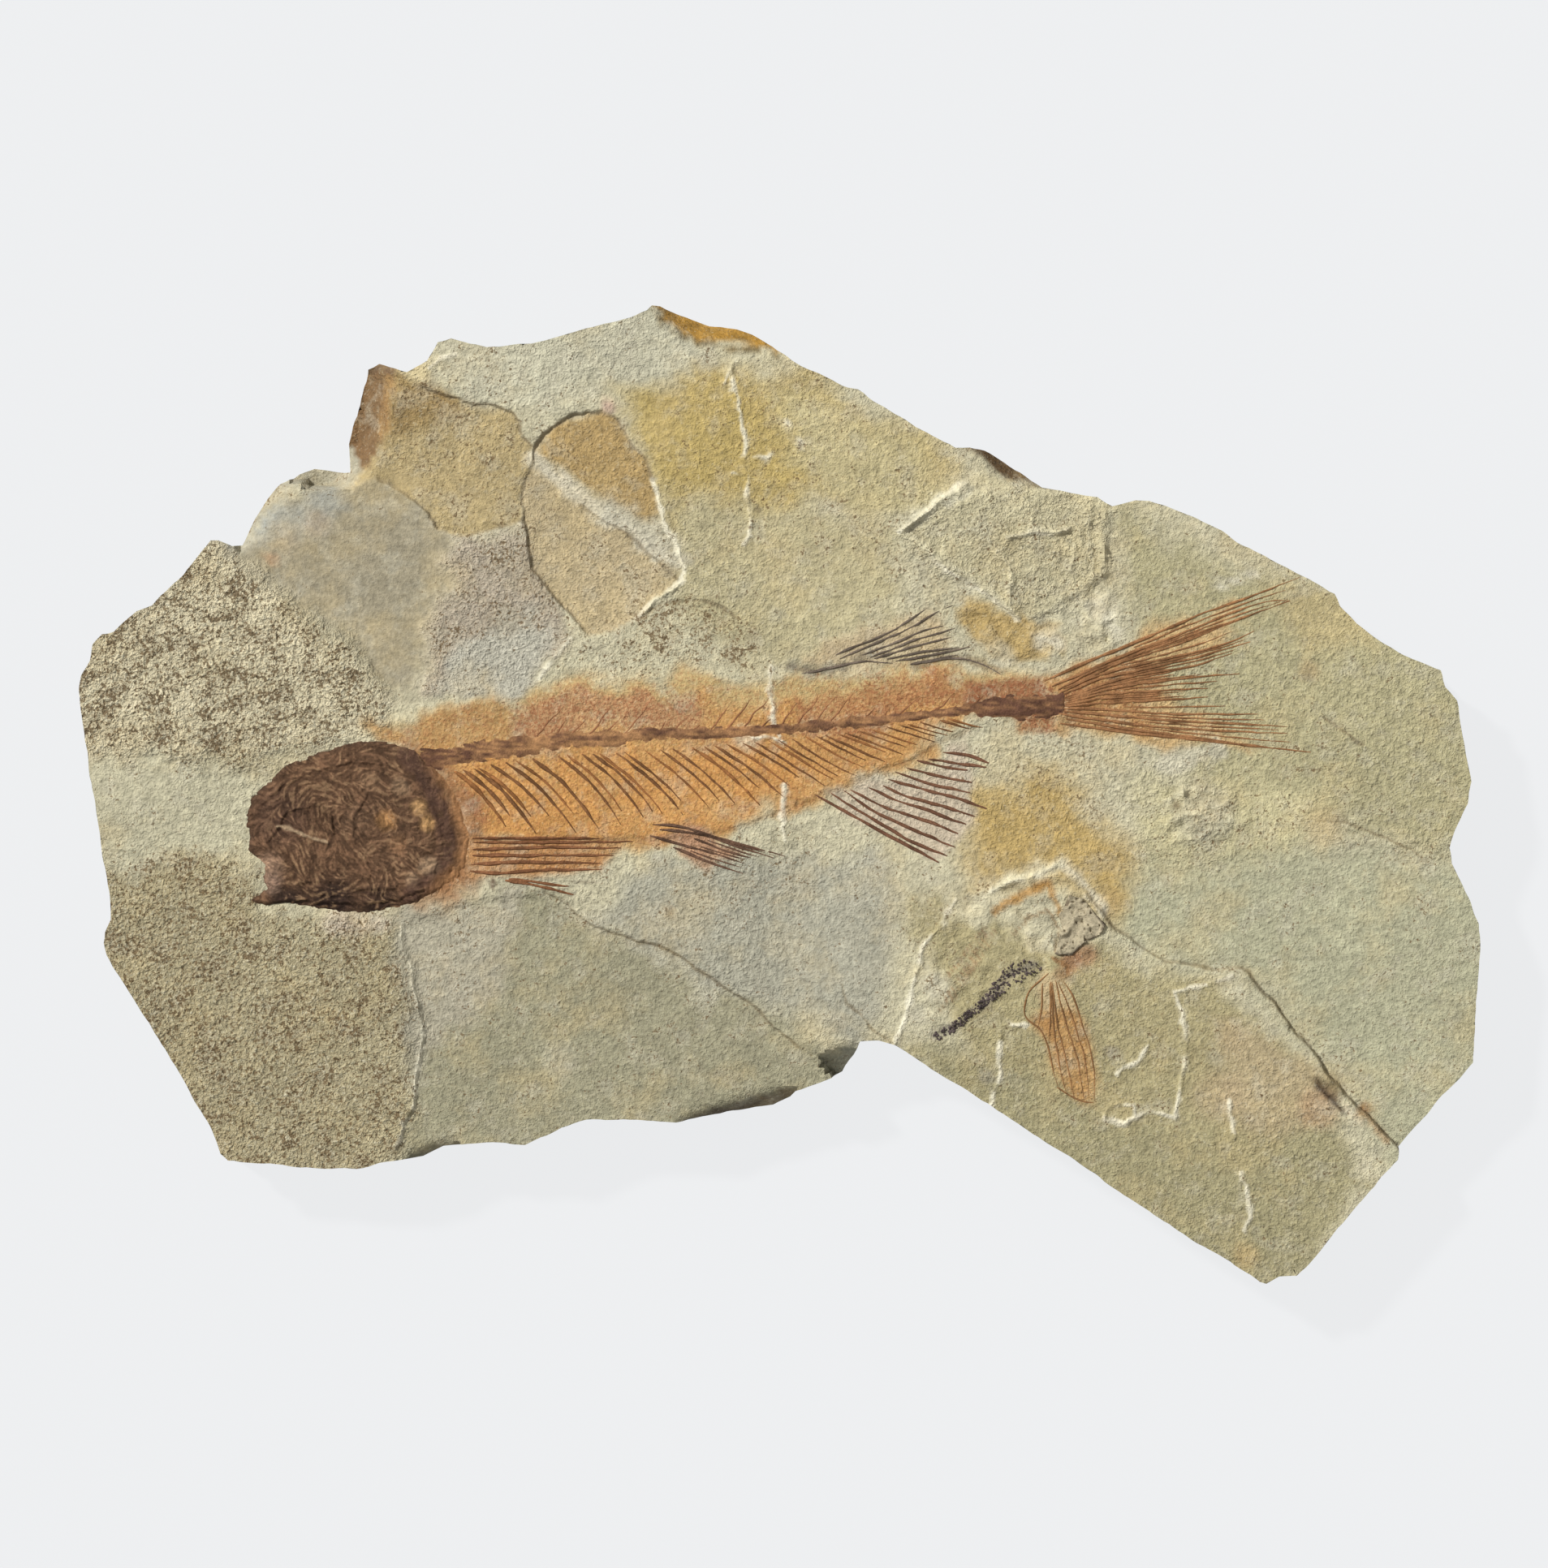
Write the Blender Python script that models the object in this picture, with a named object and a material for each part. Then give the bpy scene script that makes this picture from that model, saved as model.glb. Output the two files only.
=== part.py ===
# Fossil fish slab: a broken plate of fine mudstone with one whole bony fish on its upper face
# and the remains of a second fish beside it. The plate lies on its flat underside, +Z up.
import math
import random

import bmesh
import bpy
from mathutils import Vector
from mathutils.geometry import convex_hull_2d

# Driving dimensions, in metres.
SLAB_LENGTH = 0.173
SLAB_THICKNESS = 0.010

# The face is drawn at full size in millimetres, as seen from above: x runs right and y runs down
# the sheet, from the sheet's top left corner.
MM = 0.001
OUTLINE = [
    (12.5, 78.0), (14.0, 77.8), (16.7, 75.1), (18.6, 74.4), (22.5, 70.7), (25.9, 66.5), (26.9, 66.4),
    (28.6, 67.1), (29.7, 67.0), (31.1, 63.8), (32.8, 61.4), (34.3, 59.4), (36.6, 58.2), (38.5, 57.6),
    (42.9, 58.0), (42.6, 54.5), (44.1, 48.9), (45.0, 45.2), (46.5, 44.6), (50.1, 45.7), (52.5, 44.3),
    (53.8, 42.0), (55.6, 41.4), (57.3, 42.0), (59.9, 42.6), (65.5, 42.2), (70.0, 41.1), (79.7, 38.2),
    (80.3, 37.4), (81.3, 37.4), (83.9, 38.6), (87.4, 39.9), (90.8, 40.3), (92.7, 41.1), (98.9, 44.9),
    (103.8, 47.4), (105.8, 47.8), (107.1, 48.9), (112.3, 52.0), (117.7, 55.0), (119.5, 54.9),
    (121.4, 55.4), (123.8, 56.9), (128.5, 59.8), (132.0, 60.6), (135.3, 61.0), (137.1, 62.2),
    (139.9, 61.6), (141.6, 61.6), (144.3, 62.5), (147.6, 63.8), (150.6, 65.2), (153.2, 67.1),
    (159.8, 70.6), (164.6, 73.0), (165.2, 74.6), (167.2, 76.7), (170.5, 79.3), (174.2, 81.2),
    (177.6, 82.5), (178.3, 84.5), (179.6, 86.3), (180.2, 90.0), (181.5, 96.3), (181.0, 99.1),
    (179.5, 102.3), (178.8, 104.5), (178.9, 106.4), (181.0, 110.6), (182.3, 113.8), (182.6, 117.0),
    (182.2, 121.1), (182.0, 125.9), (181.7, 131.0), (177.9, 135.1), (172.6, 141.4), (172.4, 143.0),
    (166.9, 149.0), (161.6, 155.7), (159.8, 157.3), (157.6, 157.3), (156.0, 158.2), (155.2, 158.0),
    (146.4, 152.6), (134.8, 144.8), (122.2, 136.5), (110.2, 128.9), (108.2, 128.4), (106.0, 128.4),
    (105.3, 130.1), (103.9, 132.3), (98.1, 134.6), (97.4, 135.3), (95.3, 136.3), (89.5, 137.3),
    (83.3, 138.5), (79.1, 138.2), (72.3, 138.2), (69.2, 139.1), (64.7, 141.2), (59.9, 140.9),
    (54.6, 141.3), (52.1, 142.5), (46.8, 143.5), (44.0, 144.2), (40.7, 144.2), (28.0, 143.2),
    (27.0, 142.3), (26.0, 139.5), (20.3, 129.3), (12.9, 117.8), (12.5, 116.2), (12.7, 114.8),
    (13.6, 113.3), (12.9, 107.7), (10.8, 95.0), (9.6, 85.1), (9.8, 83.2), (10.8, 81.3), (11.2, 79.3),
]
LEFT, RIGHT = min(x for x, y in OUTLINE), max(x for x, y in OUTLINE)
TOP, BOTTOM = min(y for x, y in OUTLINE), max(y for x, y in OUTLINE)
SCALE = SLAB_LENGTH / (RIGHT - LEFT)

# Colours, linear RGB.
STONE_COLOUR = (0.47, 0.43, 0.28)
HEAD_COLOUR = (0.075, 0.035, 0.020)
SPINE_COLOUR = (0.10, 0.035, 0.022)
FIN_COLOURS = {
    "dorsal_fin": (0.06, 0.045, 0.035),
    "anal_fin": (0.22, 0.075, 0.022),
    "tail_fin": (0.22, 0.075, 0.022),
    "pectoral_fin": (0.16, 0.05, 0.018),
    "pelvic_fin": (0.10, 0.04, 0.02),
    "loose_fin": (0.36, 0.16, 0.05),
}
CHARRED_COLOUR = (0.045, 0.035, 0.032)
CREAM_COLOUR = (0.68, 0.62, 0.47)

# The broken edge: rings of the outline up the plate's thickness, each pulled in a little where
# the beds have split back. The first number is the height as a share of the thickness.
EDGE_RINGS = [(0.0, 1.1), (0.2, 0.5), (0.42, 0.9), (0.65, 0.35), (0.86, 0.25), (1.0, 0.0)]
EDGE_JITTER = 0.35
EDGE_SEED = 7

# Places where the top bed has flaked off, leaving a lower ledge: an outline and a depth in mm.
LEDGES = {
    "leaf_scar": (0.8, [
        (74.5, 51.0), (71.0, 51.6), (67.6, 54.0), (66.0, 56.5), (64.6, 60.8), (64.5, 65.8), (65.8, 70.4),
        (68.0, 74.0), (71.2, 77.8), (76.0, 78.6), (79.2, 74.8), (83.2, 71.6), (81.6, 66.0),
        (80.8, 59.5), (78.6, 54.4),
    ]),
    "brown_ledge": (0.5, [
        (40.0, 60.0), (40.0, 40.0), (50.2, 45.0), (53.6, 47.6), (59.0, 49.4), (64.0, 50.2), (64.6, 54.0),
        (66.5, 55.8), (65.0, 60.8), (64.3, 64.8), (60.0, 65.6), (54.6, 66.0), (51.6, 62.6), (47.0, 59.6),
    ]),
    "smooth_lobe": (0.35, [
        (26.0, 56.0), (43.2, 54.0), (46.6, 59.3), (51.4, 62.4), (54.2, 66.2), (54.8, 70.0), (54.2, 78.0),
        (53.0, 85.0), (50.0, 86.0), (42.0, 78.6), (34.0, 73.6), (29.0, 68.0),
    ]),
    "grey_floor": (0.3, [
        (56.0, 111.6), (66.0, 110.0), (72.0, 113.2), (76.0, 115.2), (83.0, 118.0), (90.0, 123.0),
        (100.0, 130.4), (106.0, 140.0), (49.0, 150.0), (49.3, 139.0), (50.6, 128.0), (52.0, 118.0),
    ]),
}

# The lower right bed dips as a tilted plane from its hinge line down to the step across the corner.
STEP_SLOPE = 0.035
STEP_HINGE = [(130.5, 106.3), (190.0, 103.6)]
STEP_LINE = [
    (190.0, 152.0), (176.0, 145.0), (172.4, 141.4), (168.6, 137.7), (166.7, 135.5), (163.5, 132.3),
    (161.0, 128.8), (158.7, 125.6), (155.9, 122.4), (153.6, 119.5), (152.3, 119.3), (148.5, 119.4),
    (145.7, 118.9), (142.5, 117.8), (139.9, 116.3), (137.0, 114.0), (133.6, 110.0),
]

# A patch of the bed above that still clings to the upper right edge, its outline and height.
CLINGING_BED_HEIGHT = 0.5
CLINGING_BED = [
    (111.0, 64.9), (113.6, 62.8), (117.0, 60.2), (121.0, 58.6), (126.0, 60.4), (131.0, 61.4),
    (135.0, 62.2), (135.8, 66.0), (134.8, 71.0), (133.6, 75.2), (129.0, 76.4), (124.4, 74.6),
    (120.0, 71.6), (116.8, 69.6), (113.0, 66.8),
]

# Chips struck off the top edge: how many mm each falls per mm outwards, the way out, and the
# line on the top face where it starts.
CHIPS = {
    "amber_chip": (1.3, (0.1, -1.0), [
        (78.0, 37.6), (80.3, 37.9), (81.4, 39.4), (83.2, 41.0), (85.2, 42.1), (90.5, 42.4), (97.0, 43.6)]),
    "brown_chip": (1.4, (0.55, -0.85), [(117.0, 54.9), (120.5, 56.2), (122.5, 58.3), (124.3, 59.6), (130.0, 60.6)]),
    "rust_chip": (1.6, (-1.0, -0.15), [(51.7, 43.3), (48.8, 46.4), (48.1, 51.7), (46.7, 55.7), (43.7, 60.3)]),
    "speckled_chip": (1.5, (-0.6, -0.8), [(43.4, 58.6), (37.2, 59.4), (34.9, 61.4), (32.9, 64.0), (30.0, 68.2)]),
    "notch_chip": (1.7, (0.7, 0.7), [
        (107.4, 127.6), (106.2, 128.9), (103.0, 129.1), (100.6, 129.9), (101.6, 131.2), (102.9, 132.6), (100.0, 135.0)]),
    "low_edge_chip": (1.6, (0.15, 1.0), [(98.4, 133.8), (94.0, 134.6), (90.0, 135.7), (86.0, 136.9), (81.0, 139.2)]),
    "corner_chip": (1.6, (0.1, 1.0), [(56.6, 140.6), (53.6, 140.9), (50.6, 141.9), (48.6, 143.8)]),
}
CHIP_REACH = 7.0

# Fossil parts lie in shallow beds that their own shapes pressed into the stone.
BED_DEPTH = 0.35
BED_MARGIN = 0.8
BONE_GAP = 0.15

# How far above the top face a cutting tool reaches, in metres.
CUT_HEIGHT = 0.003

# The whole fish.
SKULL = [
    (30.3, 99.9), (30.9, 98.3), (32.8, 96.4), (35.5, 94.0), (37.6, 93.2), (39.8, 92.4), (41.9, 91.8),
    (44.6, 91.2), (48.4, 91.4), (51.0, 92.3), (53.7, 94.6), (55.9, 97.2), (57.2, 99.9), (57.7, 102.1),
    (58.0, 104.2), (57.5, 106.4), (56.4, 108.2), (54.3, 109.8), (51.6, 111.2), (48.9, 112.0),
    (45.4, 112.5), (41.4, 112.5), (38.7, 112.0), (36.0, 111.6), (32.8, 111.7), (30.6, 111.2),
    (32.0, 109.9), (31.4, 108.6), (31.5, 106.4), (30.5, 104.7), (30.8, 103.1), (30.3, 101.8),
]
SKULL_STEPS = [(1.0, 0.0), (1.0, 0.45), (0.95, 0.8), (0.82, 1.1), (0.55, 1.3)]
SKULL_RIDGES = {
    "gill_cover": (0.75, 0.5, [(49.6, 92.6), (53.0, 96.0), (54.6, 100.4), (54.4, 104.6), (52.4, 108.2), (48.6, 110.6)]),
    "lower_jaw": (0.6, 0.3, [(33.4, 110.8), (36.0, 110.4), (41.0, 110.8), (46.0, 111.0), (50.0, 110.0)]),
    "upper_jaw": (0.45, 0.5, [(32.4, 102.6), (35.4, 103.2), (38.6, 104.3)]),
    "skull_roof": (0.55, 0.4, [(31.8, 99.2), (35.0, 96.6), (40.0, 94.4), (45.0, 93.0), (49.0, 93.6)]),
    "cheek": (0.5, 0.8, [(38.4, 98.0), (41.0, 100.0), (41.6, 103.2), (39.6, 106.4)]),
    "inner_gill": (0.5, 0.9, [(45.6, 96.2), (49.6, 99.6), (50.6, 103.6), (48.8, 107.0), (44.0, 108.4)]),
}

BACKBONE = [
    (55.2, 93.2, 1.3), (60.0, 92.4, 1.2), (64.0, 92.0, 1.15), (70.0, 91.2, 1.0), (74.0, 91.1, 0.95),
    (80.0, 90.6, 0.8), (86.0, 90.3, 0.7), (92.0, 90.1, 0.6), (97.0, 89.8, 0.6), (101.2, 89.4, 0.7),
    (105.0, 89.0, 0.8), (110.4, 88.5, 0.6), (115.0, 88.0, 0.5), (117.7, 87.7, 0.6), (120.0, 87.3, 0.9),
    (125.6, 87.1, 1.5), (129.4, 86.9, 1.4),
]
VERTEBRA_LENGTH = 2.1
VERTEBRA_WAIST = 0.72

# A comb of thin bones is a line of roots, a line of tips, how many bones run between them, and
# how far each bows out sideways halfway along.
COMBS = {
    "rib": ([(57.6, 92.8), (69.5, 91.3), (84.0, 90.4), (96.5, 89.9), (104.0, 89.1), (110.4, 88.5)],
            [(63.4, 102.4), (77.0, 101.0), (91.5, 98.4), (103.0, 95.6), (113.5, 92.2)], 26, 0.6),
    "neural_spine": ([(70.0, 91.2), (80.0, 90.6), (92.0, 90.1), (101.2, 89.4), (110.4, 88.5), (119.0, 87.5)],
                     [(73.6, 87.4), (99.6, 85.8), (122.6, 84.6)], 24, 0.2),
}
RIB_RADIUS = 0.22

# A fin is a line of roots, the tips of its rays, and the bony bar that the rays spring from.
FINS = {
    "dorsal_fin": ([(102.9, 80.8), (112.1, 81.9)],
                   [(114.4, 74.8), (117.4, 74.6), (116.2, 77.1), (117.7, 77.6), (117.4, 78.6),
                    (118.2, 79.8), (119.5, 80.0), (118.0, 81.0), (123.0, 83.0)],
                   [(97.2, 81.6), (100.0, 81.8), (103.0, 81.1), (108.0, 81.6), (112.6, 82.0)]),
    "anal_fin": ([(100.4, 98.1), (108.0, 96.2), (116.4, 93.6)],
                 [(115.7, 106.3), (116.7, 105.5), (117.7, 104.4), (118.0, 102.7), (119.0, 101.6),
                  (120.0, 100.6), (121.5, 99.7), (119.5, 97.7), (119.7, 96.6), (121.4, 95.2)],
                 [(100.2, 98.0), (104.0, 97.2), (108.0, 96.1), (112.0, 94.9), (116.6, 93.4)]),
    "tail_fin": ([(131.4, 84.2), (134.4, 84.8), (136.0, 85.8), (134.4, 87.4), (131.8, 88.8)],
                 [(160.0, 71.3), (158.9, 74.0), (156.6, 75.8), (154.5, 77.8), (154.0, 79.1),
                  (151.8, 80.7), (152.7, 83.0), (148.8, 84.8), (148.8, 86.1), (155.0, 88.0),
                  (158.6, 89.5), (158.6, 90.6), (161.8, 92.7)],
                 [(131.7, 84.2), (134.2, 84.9), (135.6, 86.0), (134.2, 87.5), (131.8, 88.6)]),
    "pectoral_fin": ([(59.2, 103.4), (59.0, 107.4)],
                     [(74.5, 103.4), (77.9, 104.0), (76.5, 104.7), (75.6, 105.5), (74.2, 106.4),
                      (74.2, 107.2), (70.6, 110.0)],
                     [(59.2, 103.0), (59.2, 104.6), (59.1, 106.2), (58.9, 107.8)]),
    "pelvic_fin": ([(80.3, 101.9), (80.7, 103.3)],
                   [(96.7, 105.5), (95.3, 105.9), (92.5, 106.0), (91.9, 106.6), (91.6, 107.6)],
                   [(80.0, 101.7), (80.5, 102.6), (80.7, 103.5)]),
    "loose_fin": ([(128.8, 120.4), (130.6, 120.8)],
                  [(126.6, 125.6), (128.6, 128.8), (129.6, 131.6), (130.6, 134.0), (132.2, 135.2),
                   (133.8, 135.8), (134.8, 135.2), (134.8, 132.2)],
                  [(128.6, 119.6), (129.4, 120.6), (130.8, 121.4)]),
}
FIN_BAR_RADIUS = {
    "dorsal_fin": 0.42, "anal_fin": 0.38, "tail_fin": 0.62, "pectoral_fin": 0.5, "pelvic_fin": 0.45,
    "loose_fin": 0.5,
}
RAY_ROOT_RADIUS = 0.26
RAY_TIP_RADIUS = 0.14
RAY_BOW = 0.15

# What is left of the second fish: a charred string of vertebrae and a crumbled plate of bone.
LOOSE_SPINE = [
    (114.9, 127.5, 0.45), (116.4, 127.8, 0.6), (118.6, 126.4, 0.5), (121.0, 124.2, 0.5),
    (123.5, 121.9, 0.6), (125.4, 119.8, 0.8), (127.0, 119.4, 0.6),
]
BONE_PLATE = [
    (131.4, 110.4), (133.4, 110.9), (135.4, 112.8), (136.0, 114.0), (135.4, 115.4), (133.4, 116.4),
    (131.8, 117.6), (129.9, 117.5), (130.3, 116.2), (130.8, 113.8), (130.5, 112.6),
]
BONE_PLATE_STEPS = [(1.0, 0.0), (1.0, 0.4), (0.8, 0.6)]


def place(x, y, height=0.0):
    """A point of the drawing, in millimetres, as metres in the part's frame."""
    return Vector((
        (x - (LEFT + RIGHT) / 2) * SCALE,
        ((TOP + BOTTOM) / 2 - y) * SCALE,
        height,
    ))


def clear_scene():
    for obj in list(bpy.data.objects):
        bpy.data.objects.remove(obj, do_unlink=True)


def make_material(name, colour, roughness):
    material = bpy.data.materials.new(name)
    material.use_nodes = True
    shader = material.node_tree.nodes["Principled BSDF"]
    shader.inputs["Base Color"].default_value = (*colour, 1.0)
    shader.inputs["Roughness"].default_value = roughness
    shader.inputs["Metallic"].default_value = 0.0
    return material


def add_object(name, bm, material=None):
    mesh = bpy.data.meshes.new(name)
    bmesh.ops.recalc_face_normals(bm, faces=bm.faces)
    bm.to_mesh(mesh)
    bm.free()
    obj = bpy.data.objects.new(name, mesh)
    bpy.context.scene.collection.objects.link(obj)
    if material:
        mesh.materials.append(material)
    return obj


def as_tool(obj):
    """Marks a cutter or a helper, which isn't a piece of the object."""
    obj.hide_render = True
    obj.display_type = "WIRE"
    return obj


def combine(obj, tool, operation):
    modifier = obj.modifiers.new(tool.name, "BOOLEAN")
    modifier.operation = operation
    modifier.solver = "EXACT"
    modifier.object = as_tool(tool)


def join_to(obj, tools):
    """One body from a bone and the finer bones that grow from it."""
    group = bpy.data.collections.new(obj.name + "_bones")
    bpy.context.scene.collection.children.link(group)
    for tool in tools:
        bpy.context.scene.collection.objects.unlink(tool)
        group.objects.link(as_tool(tool))
    modifier = obj.modifiers.new("grown_together", "BOOLEAN")
    modifier.operation = "UNION"
    modifier.solver = "EXACT"
    modifier.operand_type = "COLLECTION"
    modifier.collection = group


def thicken(bm, height):
    """Lifts a copy of every face straight up, walls it in, and gives back the top faces."""
    raised = bmesh.ops.extrude_face_region(bm, geom=bm.faces[:] + bm.edges[:])["geom"]
    verts = [part for part in raised if isinstance(part, bmesh.types.BMVert)]
    bmesh.ops.translate(bm, verts=verts, vec=(0.0, 0.0, height))
    return [part for part in raised if isinstance(part, bmesh.types.BMFace)]


def prism(name, floor, height):
    """A solid with straight walls over a flat floor of points."""
    bm = bmesh.new()
    bm.faces.new([bm.verts.new(point) for point in floor])
    thicken(bm, height)
    return add_object(name, bm)


def outward(points, i):
    """The direction out of a closed outline at its point i, for outlines drawn clockwise."""
    run = Vector(points[(i + 1) % len(points)]) - Vector(points[i - 1])
    return Vector((run.y, -run.x)).normalized()


def stack(name, rings, material):
    """A body from closed rings of as many points each, the lowest first."""
    bm = bmesh.new()
    loops = [[bm.verts.new(point) for point in ring] for ring in rings]
    bm.faces.new(loops[0])
    bm.faces.new(loops[-1])
    for low, high in zip(loops, loops[1:]):
        for i, vert in enumerate(low):
            j = (i + 1) % len(low)
            bm.faces.new((vert, low[j], high[j], high[i]))
    return add_object(name, bm, material)


def slab_body(material):
    """The plate: its outline at several heights, pulled in unevenly where the beds split."""
    draw = random.Random(EDGE_SEED)
    rings = []
    for share, inset in EDGE_RINGS:
        ring = []
        for i, (x, y) in enumerate(OUTLINE):
            pull = inset + draw.uniform(-1, 1) * min(inset, EDGE_JITTER)
            way = outward(OUTLINE, i)
            ring.append(place(x - way.x * pull, y - way.y * pull, share * SLAB_THICKNESS))
        rings.append(ring)
    return stack("stone_slab", rings, material)


def ledge_cutter(name, depth, points):
    """A tool with upright walls that goes a depth into the top face."""
    return prism(name, [place(x, y, SLAB_THICKNESS - depth * MM) for x, y in points], CUT_HEIGHT)


def step_cutter():
    """The tool for the lower right bed, whose floor dips away from its hinge line."""
    hinge = Vector(STEP_HINGE[0])
    run = (Vector(STEP_HINGE[1]) - hinge).normalized()
    floor = []
    for x, y in STEP_HINGE + STEP_LINE:
        away = run.cross(Vector((x, y)) - hinge)
        floor.append(place(x, y, SLAB_THICKNESS - away * STEP_SLOPE * MM))
    return prism("step_tool", floor, CUT_HEIGHT)


def chip_cutter(name, slope, way, line):
    """A tool whose floor falls away from the chip's line on the top face, out past the side."""
    bm = bmesh.new()
    near = [bm.verts.new(place(x, y, SLAB_THICKNESS)) for x, y in line]
    out = Vector(way).normalized() * CHIP_REACH
    far = [
        bm.verts.new(place(x + out.x, y + out.y, SLAB_THICKNESS - slope * CHIP_REACH * MM)) for x, y in line
    ]
    for i in range(len(line) - 1):
        bm.faces.new((near[i], near[i + 1], far[i + 1], far[i]))
    thicken(bm, slope * CHIP_REACH * MM + CUT_HEIGHT)
    return add_object(name, bm)


def clinging_bed():
    """A thin patch of the next bed up, still joined to the plate."""
    floor = [place(x, y, SLAB_THICKNESS - BED_DEPTH * MM) for x, y in CLINGING_BED]
    return prism("clinging_bed", floor, (BED_DEPTH + CLINGING_BED_HEIGHT) * MM)


def bed_cutter(name, points, extra):
    """The shallow bed under a fossil part: the hull of its points, grown all round."""
    around = [Vector((math.cos(turn), math.sin(turn))) for turn in (k * math.pi / 4 for k in range(8))]
    grown = [Vector(point[:2]) + way * BED_MARGIN for point in points for way in around]
    hull = [tuple(grown[i]) for i in convex_hull_2d(grown)]
    return ledge_cutter(name, BED_DEPTH + extra, hull)


def bone_floor():
    """The height of a bone's underside, just above the floor of its bed."""
    return SLAB_THICKNESS - (BED_DEPTH - BONE_GAP) * MM


def rod(name, points, radii, flatten=1.0, sides=0, lift=0.0):
    """A tapering bone along points, lying on the bed: a curve with a round bevel, flattened."""
    curve = bpy.data.curves.new(name, "CURVE")
    curve.dimensions = "3D"
    curve.bevel_depth = MM
    curve.bevel_resolution = sides
    curve.use_fill_caps = True
    spline = curve.splines.new("POLY")
    spline.points.add(len(points) - 1)
    for knot, (x, y), radius in zip(spline.points, points, radii):
        knot.co = (*place(x, y, radius * MM), 1.0)
        knot.radius = radius
    source = bpy.data.objects.new(name, curve)
    bpy.context.scene.collection.objects.link(source)
    bpy.context.view_layer.update()
    bm = bmesh.new()
    bm.from_mesh(source.to_mesh())
    bpy.data.objects.remove(source, do_unlink=True)
    bmesh.ops.remove_doubles(bm, verts=bm.verts, dist=1e-7)
    bmesh.ops.scale(bm, verts=bm.verts, vec=(1.0, 1.0, flatten))
    bmesh.ops.translate(bm, verts=bm.verts, vec=(0.0, 0.0, bone_floor() + lift * MM))
    return add_object(name, bm)


def along(line, share):
    """The point at a share of a drawn line's length."""
    lengths = [math.dist(a, b) for a, b in zip(line, line[1:])]
    left = share * sum(lengths)
    for a, b, length in zip(line, line[1:], lengths):
        if left <= length:
            return tuple(Vector(a).lerp(Vector(b), left / length))
        left -= length
    return line[-1]


def bowed(root, tip, bow):
    """Three points from root to tip, the middle one pushed sideways by bow millimetres."""
    run = Vector(tip) - Vector(root)
    side = Vector((run.y, -run.x)).normalized()
    return [root, tuple(Vector(root) + run / 2 + side * bow), tip]


def taper(count):
    """Shares of the full radius along a ridge, thin at both ends."""
    return [0.35 + 0.65 * math.sin(math.pi * i / (count - 1)) for i in range(count)]


def domed(name, outline, steps, material):
    """A low dome over an outline: at each step, how much of the outline is left and how high."""
    middle = sum((Vector(point) for point in outline), Vector((0.0, 0.0))) / len(outline)
    rings = []
    for share, height in steps:
        ring = [middle.lerp(Vector(point), share) for point in outline]
        rings.append([place(x, y, bone_floor() + height * MM) for x, y in ring])
    return stack(name, rings, material)


def skull(material):
    """The head's bones, crushed flat: a low dome with the ridges of jaw, cheek and gill cover."""
    obj = domed("skull", SKULL, SKULL_STEPS, material)
    ridges = [
        rod(name, line, [radius * share for share in taper(len(line))], lift=lift)
        for name, (radius, lift, line) in SKULL_RIDGES.items()
    ]
    join_to(obj, ridges)


def vertebrae(line):
    """Points and radii of a string of vertebrae that follows a line of x, y and half width."""
    path = [(x, y) for x, y, half in line]
    count = 2 * round(math.dist(path[0], path[-1]) / VERTEBRA_LENGTH)
    points = [along(path, i / count) for i in range(count + 1)]
    radii = []
    for i, (x, y) in enumerate(points):
        before, after = next(
            (a, b) for a, b in zip(line, line[1:]) if x <= b[0] + 1e-6
        )
        half = before[2] + (after[2] - before[2]) * (x - before[0]) / (after[0] - before[0])
        radii.append(half if i % 2 else half * VERTEBRA_WAIST)
    return points, radii


def backbone(material):
    """The string of vertebrae with the ribs below it and the spines above it, as one body."""
    points, radii = vertebrae(BACKBONE)
    obj = rod("backbone_and_ribs", points, radii, flatten=0.6, sides=1)
    obj.data.materials.append(material)
    fine = []
    for name, (roots, tips, count, bow) in COMBS.items():
        for i in range(count):
            line = bowed(along(roots, i / (count - 1)), along(tips, i / (count - 1)), bow)
            fine.append(rod(f"{name}_{i + 1}", line, [RIB_RADIUS, RIB_RADIUS, RIB_RADIUS * 0.6]))
    join_to(obj, fine)


def fin(name, material):
    """A fan of rays joined at the root by the bar that they spring from."""
    roots, tips, bar = FINS[name]
    radii = [FIN_BAR_RADIUS[name] * share for share in taper(len(bar))]
    obj = rod(name, bar, radii, flatten=0.7, sides=1)
    obj.data.materials.append(material)
    ray_radii = [RAY_ROOT_RADIUS, (RAY_ROOT_RADIUS + RAY_TIP_RADIUS) / 2, RAY_TIP_RADIUS]
    rays = []
    for i, tip in enumerate(tips):
        root = along(roots, i / (len(tips) - 1))
        rays.append(rod(f"{name}_ray_{i + 1}", bowed(root, tip, RAY_BOW), ray_radii))
    join_to(obj, rays)


def loose_backbone(material):
    """The second fish's vertebrae, a bent string."""
    points = [(x, y) for x, y, half in LOOSE_SPINE]
    obj = rod("loose_backbone", points, [half for x, y, half in LOOSE_SPINE], flatten=0.6, sides=1)
    obj.data.materials.append(material)


def fossil_beds():
    """What each fossil part covers on the face, as points of the drawing."""
    beds = {"skull": SKULL, "loose_bone_plate": BONE_PLATE, "loose_backbone": LOOSE_SPINE}
    bones = [(x, y + side * half) for x, y, half in BACKBONE for side in (-1, 1)]
    for roots, tips, *rest in COMBS.values():
        bones += roots + tips
    beds["backbone_and_ribs"] = bones
    for name, (roots, tips, bar) in FINS.items():
        beds[name] = roots + tips + bar
    return beds


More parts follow.
